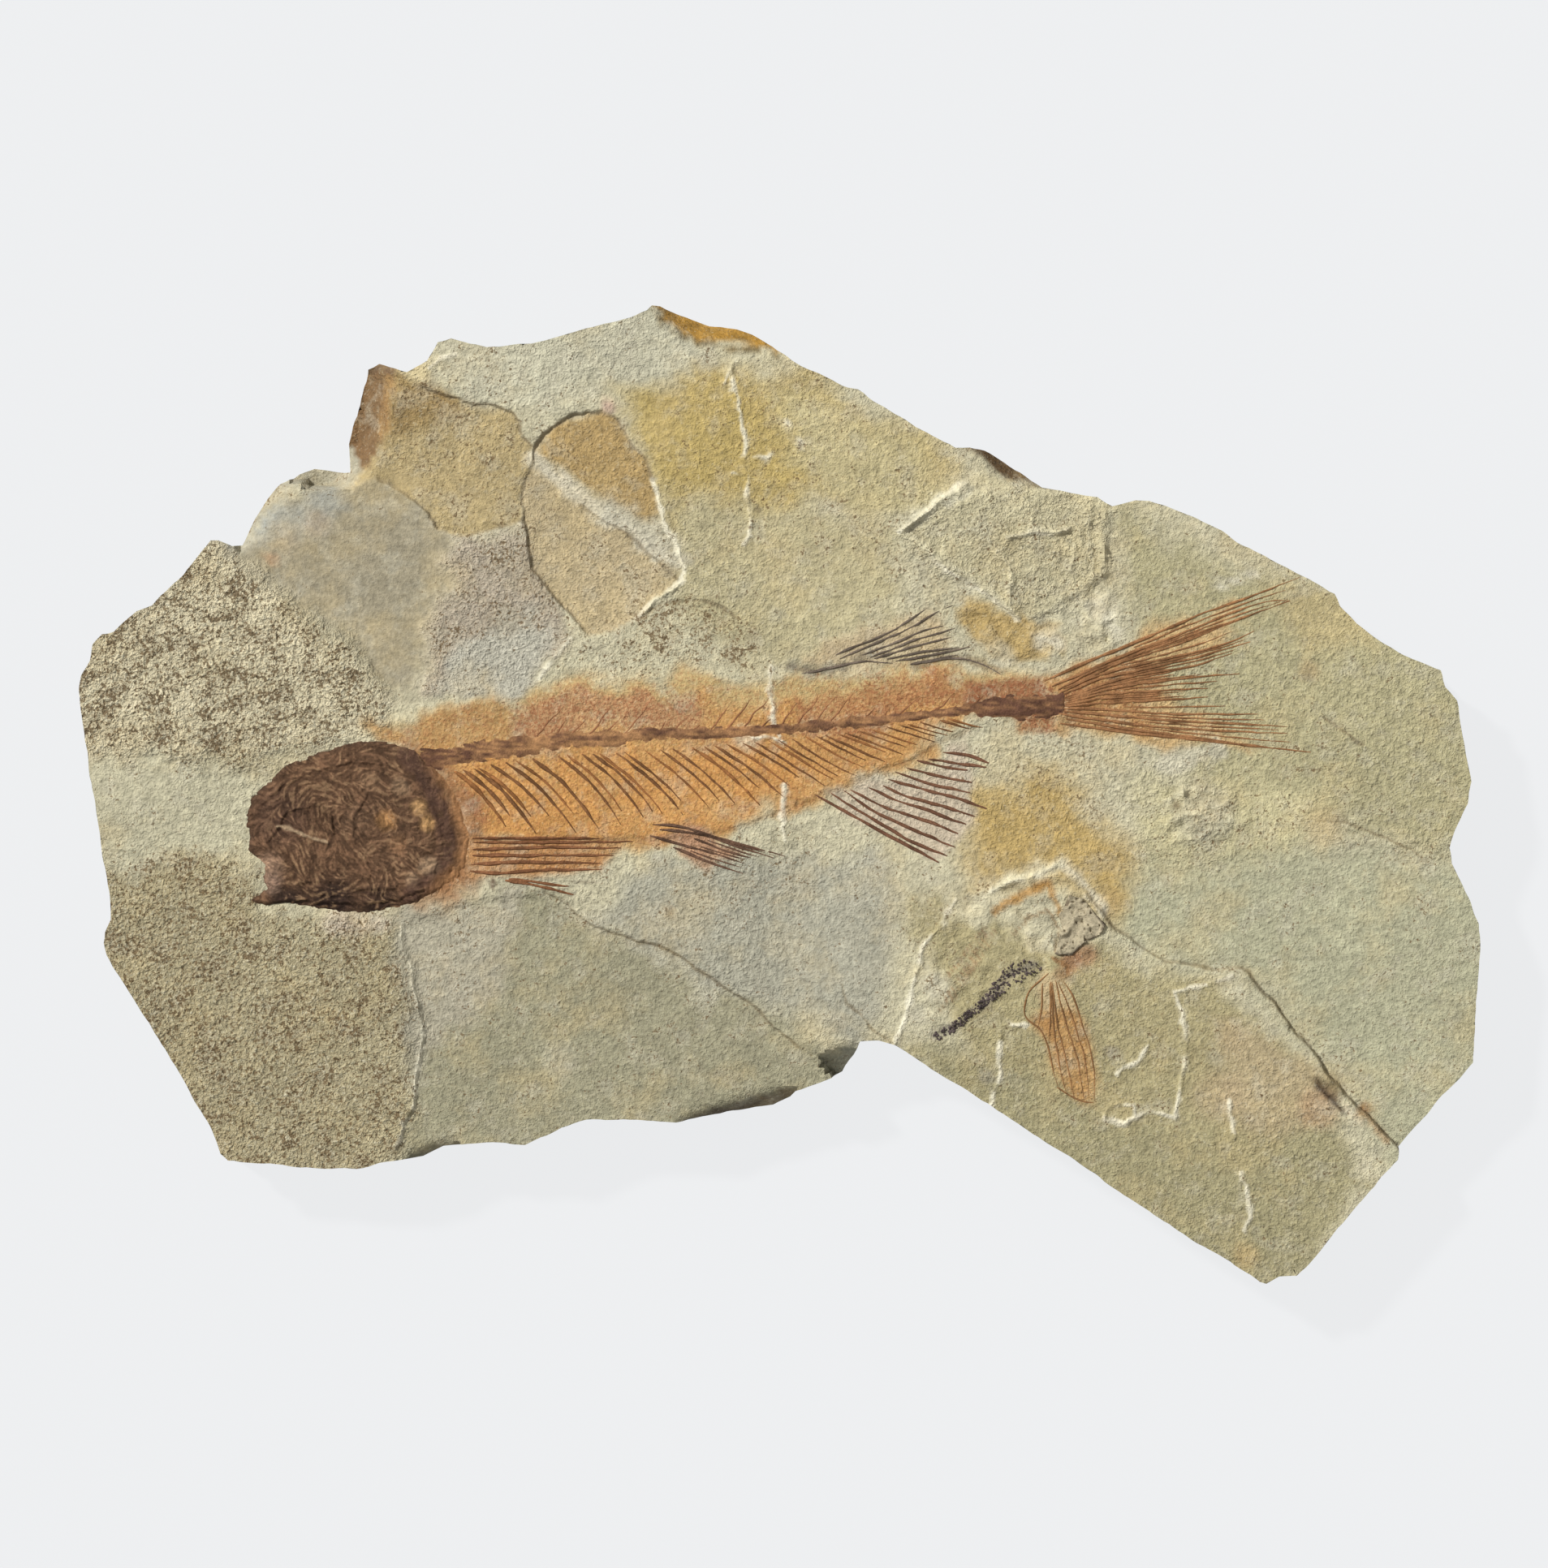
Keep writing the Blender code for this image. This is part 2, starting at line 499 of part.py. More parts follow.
def slab():
    """The plate with its ledges, chips and clinging bed, and a bed for each fossil part."""
    obj = slab_body(make_material("stone", STONE_COLOUR, 0.85))
    for name, (slope, way, line) in CHIPS.items():
        combine(obj, chip_cutter(name + "_tool", slope, way, line), "DIFFERENCE")
    combine(obj, clinging_bed(), "UNION")
    for name, (depth, points) in LEDGES.items():
        combine(obj, ledge_cutter(name + "_tool", depth, points), "DIFFERENCE")
    combine(obj, step_cutter(), "DIFFERENCE")
    for order, (name, points) in enumerate(fossil_beds().items()):
        combine(obj, bed_cutter(name + "_bed", points, order * 0.01), "DIFFERENCE")


clear_scene()
slab()
skull(make_material("skull_bone", HEAD_COLOUR, 0.55))
backbone(make_material("spine_bone", SPINE_COLOUR, 0.6))
for fin_name, fin_colour in FIN_COLOURS.items():
    fin(fin_name, make_material(fin_name + "_bone", fin_colour, 0.6))
loose_backbone(make_material("charred_bone", CHARRED_COLOUR, 0.6))
domed("loose_bone_plate", BONE_PLATE, BONE_PLATE_STEPS, make_material("cream_bone", CREAM_COLOUR, 0.75))
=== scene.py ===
import math

import bmesh
import bpy
import numpy as np
from mathutils import Matrix, Vector


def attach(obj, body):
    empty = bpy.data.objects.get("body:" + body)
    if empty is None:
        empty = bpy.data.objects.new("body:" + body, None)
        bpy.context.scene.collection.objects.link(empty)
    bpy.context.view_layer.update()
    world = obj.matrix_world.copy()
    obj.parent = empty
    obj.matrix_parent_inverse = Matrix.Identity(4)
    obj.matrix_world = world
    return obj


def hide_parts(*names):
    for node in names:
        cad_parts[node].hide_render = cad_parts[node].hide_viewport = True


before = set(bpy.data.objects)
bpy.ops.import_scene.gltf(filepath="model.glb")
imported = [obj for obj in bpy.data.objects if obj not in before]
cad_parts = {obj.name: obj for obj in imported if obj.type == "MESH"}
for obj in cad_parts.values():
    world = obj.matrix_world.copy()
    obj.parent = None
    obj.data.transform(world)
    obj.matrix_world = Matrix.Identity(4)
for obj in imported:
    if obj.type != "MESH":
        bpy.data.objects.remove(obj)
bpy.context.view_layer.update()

# Stone slab
# A broken plate of fine, pale mudstone that was split along its bedding, so thin beds have
# flaked off its face in places and its sides are a stack of ragged beds.
MM = 0.001
SLAB_TOP = 10.0
SLAB_MIDDLE = (96.1, 97.8)
OUTLINE = [
    (12.5, 78.0), (14.0, 77.8), (16.7, 75.1), (18.6, 74.4), (22.5, 70.7), (25.9, 66.5), (26.9, 66.4),
    (28.6, 67.1), (29.7, 67.0), (31.1, 63.8), (32.8, 61.4), (34.3, 59.4), (36.6, 58.2), (38.5, 57.6),
    (42.9, 58.0), (42.6, 54.5), (44.1, 48.9), (45.0, 45.2), (46.5, 44.6), (50.1, 45.7), (52.5, 44.3),
    (53.8, 42.0), (55.6, 41.4), (57.3, 42.0), (59.9, 42.6), (65.5, 42.2), (70.0, 41.1), (79.7, 38.2),
    (80.3, 37.6), (81.3, 37.6), (83.9, 38.6), (87.4, 39.9), (90.8, 40.3), (92.7, 41.1), (98.9, 44.9),
    (103.8, 47.4), (105.8, 47.8), (107.1, 48.9), (112.3, 52.0), (117.7, 55.0), (119.5, 54.9),
    (121.4, 55.4), (123.8, 56.9), (128.5, 59.8), (132.0, 60.6), (135.3, 61.0), (137.1, 62.2),
    (139.9, 61.6), (141.6, 61.6), (144.3, 62.5), (147.6, 63.8), (150.6, 65.2), (153.2, 67.1),
    (159.8, 70.6), (164.6, 73.0), (165.2, 74.6), (167.2, 76.7), (170.5, 79.3), (174.2, 81.2),
    (177.6, 82.5), (178.3, 84.5), (179.6, 86.3), (180.2, 90.0), (181.5, 96.3), (181.0, 99.1),
    (179.5, 102.3), (178.8, 104.5), (178.9, 106.4), (181.0, 110.6), (182.3, 113.8), (182.6, 117.0),
    (182.2, 121.1), (182.0, 125.9), (181.7, 131.0), (177.9, 135.1), (172.6, 141.4), (172.4, 143.0),
    (166.9, 149.0), (161.6, 155.7), (159.8, 157.3), (157.6, 157.3), (156.0, 158.2), (155.2, 158.0),
    (146.4, 152.6), (134.8, 144.8), (122.2, 136.5), (110.2, 128.9), (108.2, 128.4), (106.0, 128.4),
    (105.3, 130.1), (103.9, 132.3), (98.1, 134.6), (97.4, 135.3), (95.3, 136.3), (89.5, 137.3),
    (83.3, 138.5), (79.1, 138.2), (72.3, 138.2), (69.2, 139.1), (64.7, 141.2), (59.9, 140.9),
    (54.6, 141.3), (52.1, 142.5), (46.8, 143.5), (44.0, 144.2), (40.7, 144.2), (28.0, 143.2),
    (27.0, 142.3), (26.0, 139.5), (20.3, 129.3), (12.9, 117.8), (12.5, 116.2), (12.7, 114.8),
    (13.6, 113.3), (12.9, 107.7), (10.8, 95.0), (9.6, 85.1), (9.8, 83.2), (10.8, 81.3), (11.2, 79.3),
]
LEAF_SCAR = [
    (75.5, 51.3), (76.7, 53.0), (78.2, 55.0), (79.4, 56.7), (80.2, 59.1), (81.1, 61.0), (81.4, 63.4),
    (82.0, 65.4), (83.3, 67.3), (84.2, 70.0), (84.5, 71.2), (83.8, 71.7), (81.8, 73.1), (80.1, 74.4),
    (78.4, 76.0), (75.5, 77.8), (72.6, 78.4), (71.9, 77.7), (70.2, 75.6), (68.5, 73.9), (67.0, 71.7),
    (65.7, 69.8), (65.1, 67.3), (64.6, 64.9), (64.4, 62.5), (64.5, 59.8), (65.5, 57.6), (65.8, 55.0),
    (67.0, 53.5), (68.5, 52.5), (70.7, 51.2), (74.1, 50.6),
]
LEAF_UPPER = [
    (75.5, 51.3), (79.4, 56.7), (81.4, 63.4), (83.8, 69.6), (77.5, 65.2), (70.8, 60.0), (66.0, 56.0),
    (68.5, 52.5), (74.1, 50.6),
]
LEAF_BROWN = [
    (75.5, 51.3), (79.4, 56.7), (81.3, 62.6), (79.4, 64.0), (75.8, 62.4), (70.6, 58.6), (66.2, 55.8),
    (68.5, 52.5), (74.1, 50.6),
]
BROWN_PLATE = [
    (52.1, 47.8), (54.8, 48.9), (57.5, 49.5), (60.1, 49.8), (63.1, 50.5), (63.9, 52.1), (64.0, 53.7),
    (65.5, 54.8), (65.5, 57.6), (64.5, 59.8), (64.4, 62.5), (64.2, 64.0), (62.8, 64.4), (60.1, 65.5),
    (57.5, 66.3), (53.7, 65.2), (52.7, 63.3), (50.8, 61.5), (48.4, 60.4), (46.7, 58.8), (43.6, 60.0),
    (40.0, 56.0), (42.0, 44.0), (48.0, 46.6),
]
SPECKLED_PATCH = [
    (53.7, 65.2), (57.5, 66.3), (60.1, 65.5), (64.2, 64.0), (65.1, 67.3), (65.7, 69.8), (67.0, 71.7),
    (68.5, 73.9), (70.2, 75.6), (70.4, 78.6), (68.0, 81.0), (66.0, 83.6), (60.0, 85.0), (54.0, 84.5),
    (53.5, 78.0), (54.3, 70.0),
]
SMOOTH_LOBE = [
    (28.5, 67.4), (31.0, 64.6), (34.0, 61.0), (38.0, 59.4), (43.6, 60.0), (46.7, 58.8), (50.8, 61.5),
    (53.7, 65.2), (54.5, 70.0), (53.6, 77.0), (52.5, 85.5), (48.0, 85.4), (42.0, 79.0), (33.0, 73.5),
]
GREY_FLOOR = [
    (49.3, 114.2), (57.0, 111.2), (67.4, 110.1), (70.5, 112.2), (72.6, 113.9), (75.4, 115.1),
    (79.5, 116.0), (81.9, 117.0), (84.7, 118.6), (87.8, 120.8), (90.2, 122.5), (92.9, 123.9),
    (95.0, 126.0), (97.1, 128.0), (98.4, 129.1), (102.0, 130.4), (108.0, 140.0), (48.0, 150.0),
    (48.9, 141.5), (49.7, 138.7), (51.1, 136.2), (51.3, 132.1), (52.1, 126.4),
]
PALE_POCKET = [(62, 74), (69, 78), (67, 84), (60, 86), (55, 85), (57, 80)]
LEFT_PLATE = [
    (5.0, 70.0), (25.0, 60.0), (28.5, 67.4), (33.0, 73.5), (42.0, 79.0), (48.0, 85.4), (46.0, 90.5),
    (38.0, 92.4), (27.0, 93.6), (5.0, 92.0),
]
LEFT_LOW_PLATE = [
    (5.0, 105.0), (20.0, 106.5), (31.0, 108.0), (31.5, 112.0), (45.0, 113.6), (49.3, 114.2),
    (52.1, 126.4), (51.3, 132.1), (51.1, 136.2), (49.7, 138.7), (48.9, 143.5), (40.0, 150.0),
    (20.0, 150.0),
]
STEP_LINE = [
    (130.5, 106.3), (133.6, 110.0), (137.0, 114.0), (139.9, 116.3), (142.5, 117.8), (145.7, 118.9),
    (148.5, 119.4), (152.3, 119.3), (153.6, 119.5), (155.9, 122.4), (158.7, 125.6), (161.0, 128.8),
    (163.5, 132.3), (166.7, 135.5), (168.6, 137.7), (172.4, 141.4), (176.0, 145.0),
]
LOWER_RIGHT_BED = STEP_LINE + [(190.0, 152.0), (190.0, 103.6)]
CLINGING_BED = [
    (110.6, 65.7), (113.9, 63.2), (115.7, 61.4), (117.2, 60.1), (119.0, 59.4), (121.0, 58.4),
    (126.0, 60.0), (131.0, 60.4), (136.8, 62.0), (136.3, 65.5), (135.8, 69.8), (135.8, 71.3),
    (133.3, 72.8), (131.5, 73.6), (129.2, 75.2), (126.6, 76.2), (125.3, 76.2), (124.3, 75.2),
    (122.3, 73.9), (119.5, 71.9), (116.9, 70.3), (114.6, 68.3), (112.6, 66.8),
]
BODY = [
    (44.5, 90.6), (48.0, 88.6), (52.0, 88.0), (60.0, 86.0), (70.0, 84.0), (80.0, 83.0), (95.0, 83.0),
    (110.0, 83.0), (120.0, 82.4), (128.0, 83.6), (133.0, 84.2), (136.0, 86.0), (131.0, 88.6),
    (126.0, 88.4), (120.0, 89.4), (113.0, 93.0), (104.0, 97.0), (96.0, 100.0), (90.0, 102.0),
    (86.0, 103.0), (80.0, 103.4), (57.6, 103.4), (57.0, 99.0), (53.0, 93.0), (48.0, 91.0),
]
BELLY = [
    (57.6, 103.4), (68.0, 103.5), (80.0, 103.4), (86.0, 103.0), (90.0, 102.0), (96.0, 100.0),
    (104.0, 97.0), (113.0, 93.0), (120.0, 89.4),
]
AMBER_LIP_SHADOW = [(80.8, 38.9), (81.9, 40.2), (83.6, 41.5), (86.0, 42.4), (90.6, 42.7), (95.4, 43.4)]
CHIPS = [
    (1.3, (0.1, -1.0), [
        (78.0, 37.6), (80.3, 37.9), (81.4, 39.4), (83.2, 41.0), (85.2, 42.1), (90.5, 42.4), (97.0, 43.6)]),
    (1.4, (0.55, -0.85), [(117.0, 54.9), (120.5, 56.2), (122.5, 58.3), (124.3, 59.6), (130.0, 60.6)]),
    (1.6, (-1.0, -0.15), [(51.7, 43.3), (48.8, 46.4), (48.1, 51.7), (46.7, 55.7), (43.7, 60.3)]),
    (1.5, (-0.6, -0.8), [(43.4, 58.6), (37.2, 59.4), (34.9, 61.4), (32.9, 64.0), (30.0, 68.2)]),
    (1.7, (0.7, 0.7), [
        (107.4, 127.6), (106.2, 128.9), (103.0, 129.1), (100.6, 129.9), (101.6, 131.2), (102.9, 132.6),
        (100.0, 135.0)]),
    (1.6, (0.15, 1.0), [(98.4, 133.8), (94.0, 134.6), (90.0, 135.7), (86.0, 136.9), (81.0, 139.2)]),
    (1.6, (0.1, 1.0), [(56.6, 140.6), (53.6, 140.9), (50.6, 141.9), (48.6, 143.8)]),
]
# How far each bed stands above or below the face, and how softly its border falls.
BED_LEVELS = [
    (CLINGING_BED, 0.22, 0.5), (LEAF_SCAR, -0.55, 0.5), (LEAF_UPPER, 0.28, 0.8), (BROWN_PLATE, -0.42, 0.4),
    (SMOOTH_LOBE, -0.30, 4.0), (SPECKLED_PATCH, -0.22, 2.0), (GREY_FLOOR, -0.34, 0.4), (BODY, 0.26, 1.2),
]
BED_DIP = 0.032
CHIP_REACH = 9
CHIP_DEEPEST = 5.5
SEAM_HEIGHT, SEAM_WIDTH = 0.18, 0.42
CRACK_DEPTH, CRACK_WIDTH = 0.11, 0.28
# The faces of the chips: the middle, how far the colour reaches and its colour. The three lower faces, turned
# from the key light, are darkened with painted shade; the others carry the stone's stains.
CHIP_TINTS = [
    ((88.0, 40.0), 12.0, (0.360, 0.196, 0.036)), ((123.0, 57.5), 8.0, (0.102, 0.060, 0.025)),
    ((46.0, 51.0), 10.0, (0.178, 0.104, 0.047)), ((35.0, 61.0), 10.0, (0.360, 0.330, 0.240)),
    ((103.0, 131.0), 7.0, (0.270, 0.262, 0.190)), ((91.0, 136.5), 9.0, (0.100, 0.080, 0.055)),
    ((53.0, 142.0), 5.0, (0.150, 0.140, 0.100)),
]
# Streaks along the chips: a line, its half width and its colour.
CHIP_STREAKS = [
    # A dark line along the amber chip's lower border: painted shadow.
    (AMBER_LIP_SHADOW, 0.24, (0.150, 0.095, 0.026)),
    ([(83.6, 39.8), (88.0, 41.0), (92.6, 42.0)], 0.25, (0.230, 0.130, 0.026)),
    ([(47.9, 46.6), (47.3, 50.4), (46.8, 53.0)], 0.55, (0.330, 0.195, 0.075)),
    ([(45.2, 45.3), (46.6, 44.9), (48.4, 46.0)], 0.55, (0.090, 0.050, 0.030)),
]
# Granular brown remains of flesh above the backbone and round the tail's root: an outline and how dense.
FLESH = [
    ([(63, 86.4), (70, 85.4), (80, 84.6), (87, 86), (90, 89.8), (78, 91), (63, 91.6)], 0.85),
    ([(94, 86.8), (104, 84.4), (107, 82.8), (112, 84), (121, 83.4), (129, 83.6), (133, 84.4), (131, 88),
      (120, 89.4), (108, 89.4), (95, 90.6)], 0.80),
    ([(118, 84.2), (129, 83.4), (133, 84.6), (132, 88.6), (124, 89.4), (117, 89)], 1.0),
    ([(129, 84), (136, 80.8), (142, 80), (141, 88), (134, 89.4), (130, 88.6)], 0.6),
    ([(57.4, 94), (60, 95), (60.4, 103), (57.4, 103.2)], 0.7),
]
# Hair-thin seams of pale calcite that stand a little proud, and open cracks darkened with painted shade. The
# pale lines along the lit walls of the leaf scar's right edge and the clinging bed's upper edge are painted
# highlight.
VEINS_AND_LIT_EDGES = [
    [(90.5, 44.3), (89.3, 47.4)],
    [(90.1, 45.1), (91.2, 50.8), (91.6, 53.9), (91.8, 58.5), (92.2, 62.7), (92.4, 65.8), (91.4, 66.9)],
    [(93.1, 56.6), (94.6, 56.2), (95.0, 55.6)],
    [(90.1, 58.1), (91.6, 58.4)],
    [(95.0, 82.0), (94.8, 85.0), (95.3, 88.2), (96.0, 90.8)],
    [(96.6, 96.6), (96.2, 99.0), (96.8, 103.6)],
    [(92.4, 91.0), (94.6, 90.8), (96.4, 91.6)],
    [(136.0, 138.2), (136.4, 136.5), (138.0, 135.8), (139.6, 136.3), (139.8, 137.6), (138.2, 138.5),
     (136.0, 138.2)],
    [(117.7, 110.9), (116.2, 113.5), (113.6, 116.8), (113.1, 119.3), (112.3, 122.4), (111.1, 126.2),
     (110.0, 128.8)],
    [(126.4, 126.2), (123.3, 126.2), (123.4, 131.1), (122.7, 134.3), (122.1, 136.3)],
    [(152.0, 120.1), (148.8, 121.3), (144.7, 122.2), (145.7, 124.6), (146.0, 128.4), (145.7, 132.3),
     (144.7, 137.7), (141.8, 137.0), (138.6, 138.4), (136.1, 137.7)],
    [(137.7, 132.5), (140.1, 130.7), (141.3, 128.9)],
    [(151.5, 135.6), (152.2, 140.1)],
    [(153.1, 144.5), (154.2, 149.9), (153.3, 151.7)],
    [(122.0, 109.7), (124.6, 108.4), (127.9, 107.6), (129.9, 106.6)],
    # The clinging bed's upper edge, a wall lit by the key light: its pale line is painted highlight.
    CLINGING_BED[:5],
    CLINGING_BED[21:15:-1],
    [(124.3, 66.0), (131.7, 65.5)],
    # The leaf scar's right edge, a wall facing the key light: its pale line is painted highlight.
    [(80.2, 59.1), (81.1, 61.0), (81.4, 63.4), (82.0, 65.4), (83.3, 67.3), (84.2, 70.0), (83.8, 71.7),
     (80.1, 74.4), (78.4, 76.0)],
    [(70.0, 79.0), (68.0, 81.4), (66.5, 83.5)],
    GREY_FLOOR[:1] + GREY_FLOOR[:17:-1],
    [(53.0, 45.2), (54.8, 43.8), (56.0, 43.6)],
]
CRACKS = [
    [(71.6, 62.2), (73.6, 63.4), (77.0, 65.9), (79.4, 67.6), (81.3, 69.3), (83.3, 71.4)],
    LEAF_SCAR[:16:-1],
    LEAF_SCAR[:5],
    STEP_LINE[1:-1],
    GREY_FLOOR[2:15],
    [(103.6, 121.2), (104.3, 123.2), (106.0, 125.3), (107.7, 127.0), (109.5, 128.0)],
    [(163.1, 88.2), (165.4, 90.0), (167.6, 91.9)],
    [(162.2, 101.3), (165.1, 101.2), (168.3, 102.3), (172.4, 104.2), (176.3, 106.3)],
    BROWN_PLATE[:8],
    BROWN_PLATE[19:14:-1],
    BROWN_PLATE[14:10:-1],
    [(78.4, 76.3), (81.8, 74.4), (85.4, 73.9), (89.1, 74.6), (91.0, 76.3)],
]
BASE_STONE = (0.510, 0.468, 0.318)
WALL_STONE = (0.360, 0.325, 0.215)
UNDER_STONE = (0.400, 0.362, 0.240)
CALCITE_AND_HIGHLIGHT = (0.760, 0.710, 0.540)
FRESH_BREAK_AND_HIGHLIGHT = (0.640, 0.590, 0.400)
CRACK_SHADE = (0.150, 0.110, 0.060)
BELLY_SHADE = (0.220, 0.115, 0.050)
# Broad tints of the stone: an outline, a colour, and how softly it ends in millimetres.
TINTS = [
    ([(5, 60), (28, 60), (33, 74), (48, 86), (44, 92), (5, 94)], (0.715, 0.630, 0.420), 3.5),
    ([(5, 93), (40, 92), (31, 97), (31, 107), (5, 106)], (0.480, 0.445, 0.305), 4.0),
    (LEFT_LOW_PLATE, (0.448, 0.386, 0.236), 3.0),
    (SMOOTH_LOBE, (0.302, 0.264, 0.180), 4.0),
    ([(30, 60), (43, 59), (43, 63), (34, 68), (29, 68)], (0.310, 0.312, 0.270), 3.0),
    (SPECKLED_PATCH, (0.425, 0.362, 0.270), 3.0),
    (PALE_POCKET, (0.465, 0.440, 0.350), 2.0),
    (BROWN_PLATE, (0.412, 0.322, 0.164), 0.8),
    ([(44, 45), (52, 47), (57, 50), (52, 54), (46, 56)], (0.290, 0.200, 0.085), 2.5),
    ([(72, 46), (86, 43), (100, 47), (118, 57), (112, 60), (100, 61), (94, 66), (84, 67), (79, 56),
      (76, 50)], (0.446, 0.338, 0.126), 5.0),
    ([(97, 48), (110, 53), (118, 60), (108, 63), (98, 58)], (0.500, 0.430, 0.235), 4.0),
    (LEAF_SCAR, (0.458, 0.368, 0.216), 0.4),
    (LEAF_UPPER, (0.460, 0.400, 0.255), 0.8),
    (LEAF_BROWN, (0.405, 0.280, 0.118), 1.0),
    ([(54, 43), (80, 38), (90, 44), (66, 50), (56, 48)], (0.495, 0.468, 0.340), 3.5),
    ([(84, 62), (110, 64), (112, 78), (96, 82), (84, 76)], (0.455, 0.400, 0.236), 5.0),
    (CLINGING_BED, (0.540, 0.486, 0.310), 1.0),
    ([(119.5, 74.6), (124, 76.2), (130, 77.5), (129.5, 81), (123, 81.2), (119.5, 78.5)],
     (0.445, 0.318, 0.130), 1.5),
    ([(138, 62), (160, 72), (182, 84), (184, 104), (150, 100), (140, 80)], (0.405, 0.366, 0.212), 5.0),
    ([(140, 96), (165, 96), (160, 110), (142, 112)], (0.500, 0.450, 0.262), 6.0),
    (LOWER_RIGHT_BED, (0.402, 0.388, 0.256), 6.0),
    ([(110, 130), (140, 128), (165, 140), (170, 146), (158, 160), (140, 152)],
     (0.335, 0.298, 0.168), 4.0),
    ([(112, 112), (150, 121), (164, 134), (150, 140), (120, 130)], (0.375, 0.324, 0.176), 3.0),
    ([(80, 105), (108, 106), (112, 114), (106, 128), (96, 127), (86, 119), (72, 113)],
     (0.372, 0.355, 0.270), 4.0),
    (GREY_FLOOR, (0.312, 0.290, 0.190), 2.5),
    ([(49, 112), (66, 110), (60, 124), (52, 134), (50, 128)], (0.385, 0.352, 0.258), 3.0),
    ([(118, 96), (130, 96), (140, 104), (137, 114), (128, 108), (120, 110)], (0.455, 0.325, 0.126), 6.0),
    ([(150, 126), (164, 132), (160, 140), (150, 138)], (0.415, 0.335, 0.195), 4.0),
    ([(158, 72), (166, 74), (170, 80), (160, 82)], (0.440, 0.365, 0.190), 4.0),
    # The orange film that the fish's flesh left on the stone.
    (BODY, (0.500, 0.362, 0.160), 3.0),
    ([(46, 90.4), (60, 87.6), (80, 86), (100, 86.4), (120, 85), (131, 85), (131, 88.4), (120, 89.4),
      (113, 93), (104, 97), (96, 100), (90, 102), (86, 103), (80, 103.4), (57.6, 103.4), (56, 98),
      (52, 93)], (0.530, 0.290, 0.100), 2.4),
    ([(57, 94), (90, 92), (100, 93), (92, 101), (80, 103), (58, 103)], (0.565, 0.290, 0.090), 2.5),
    ([(44, 90), (52, 88), (62, 86), (66, 90), (54, 92), (47, 91)], (0.460, 0.275, 0.108), 2.5),
    ([(64, 86.6), (72, 85.6), (80, 85.0), (86, 86.4), (88, 89.6), (78, 90.6), (64, 91.4)],
     (0.440, 0.250, 0.118), 2.6),
    ([(96, 86.5), (104, 85), (112, 84.4), (120, 84), (122, 87), (110, 88.6), (98, 89.6)],
     (0.430, 0.220, 0.088), 2.2),
    ([(118, 84.2), (129, 83.6), (133, 85), (132, 88.6), (124, 89.4), (117, 89)],
     (0.330, 0.170, 0.078), 1.5),
    ([(50, 91), (56, 95), (59.4, 100), (59.8, 105), (57.4, 109.4), (53, 112), (50, 108), (50, 95)],
     (0.330, 0.165, 0.072), 3.4),
    ([(129, 83), (134, 81), (142, 78), (152, 74), (152, 78), (144, 83), (144, 86), (153, 89), (154, 91.4),
      (142, 91.2), (130, 89.4)], (0.540, 0.370, 0.175), 2.5),
    ([(129, 83.6), (135, 81.6), (140, 81), (141, 85), (140, 89.4), (134, 89.4), (130, 88.8)],
     (0.470, 0.270, 0.108), 2.2),
    ([(57.6, 103.2), (70, 103.4), (77, 103.8), (74, 107.2), (66, 108), (57.8, 107.8)],
     (0.440, 0.225, 0.090), 1.4),
    ([(80, 101.6), (88, 102.6), (92, 105), (90, 106.4), (84, 105)], (0.420, 0.240, 0.140), 1.5),
    ([(100.4, 97.8), (108, 96), (120, 92), (121, 97), (118, 104), (115, 106)],
     (0.510, 0.425, 0.310), 2.0),
    ([(100, 80.8), (106, 79), (115, 76), (117, 80), (112, 82.4), (102, 82.4)],
     (0.480, 0.380, 0.230), 2.0),
    ([(126.8, 125.4), (129, 124), (132, 123.4), (133.4, 126), (134.6, 130), (135, 133), (134.4, 135.6),
      (133.2, 135.8), (131.2, 134.1), (129.8, 131.8), (129, 128.7)], (0.420, 0.230, 0.085), 1.4),
    ([(128.6, 119.6), (131, 120.6), (132.6, 124.4), (128.4, 124.4), (127.4, 122)],
     (0.470, 0.360, 0.200), 1.4),
]
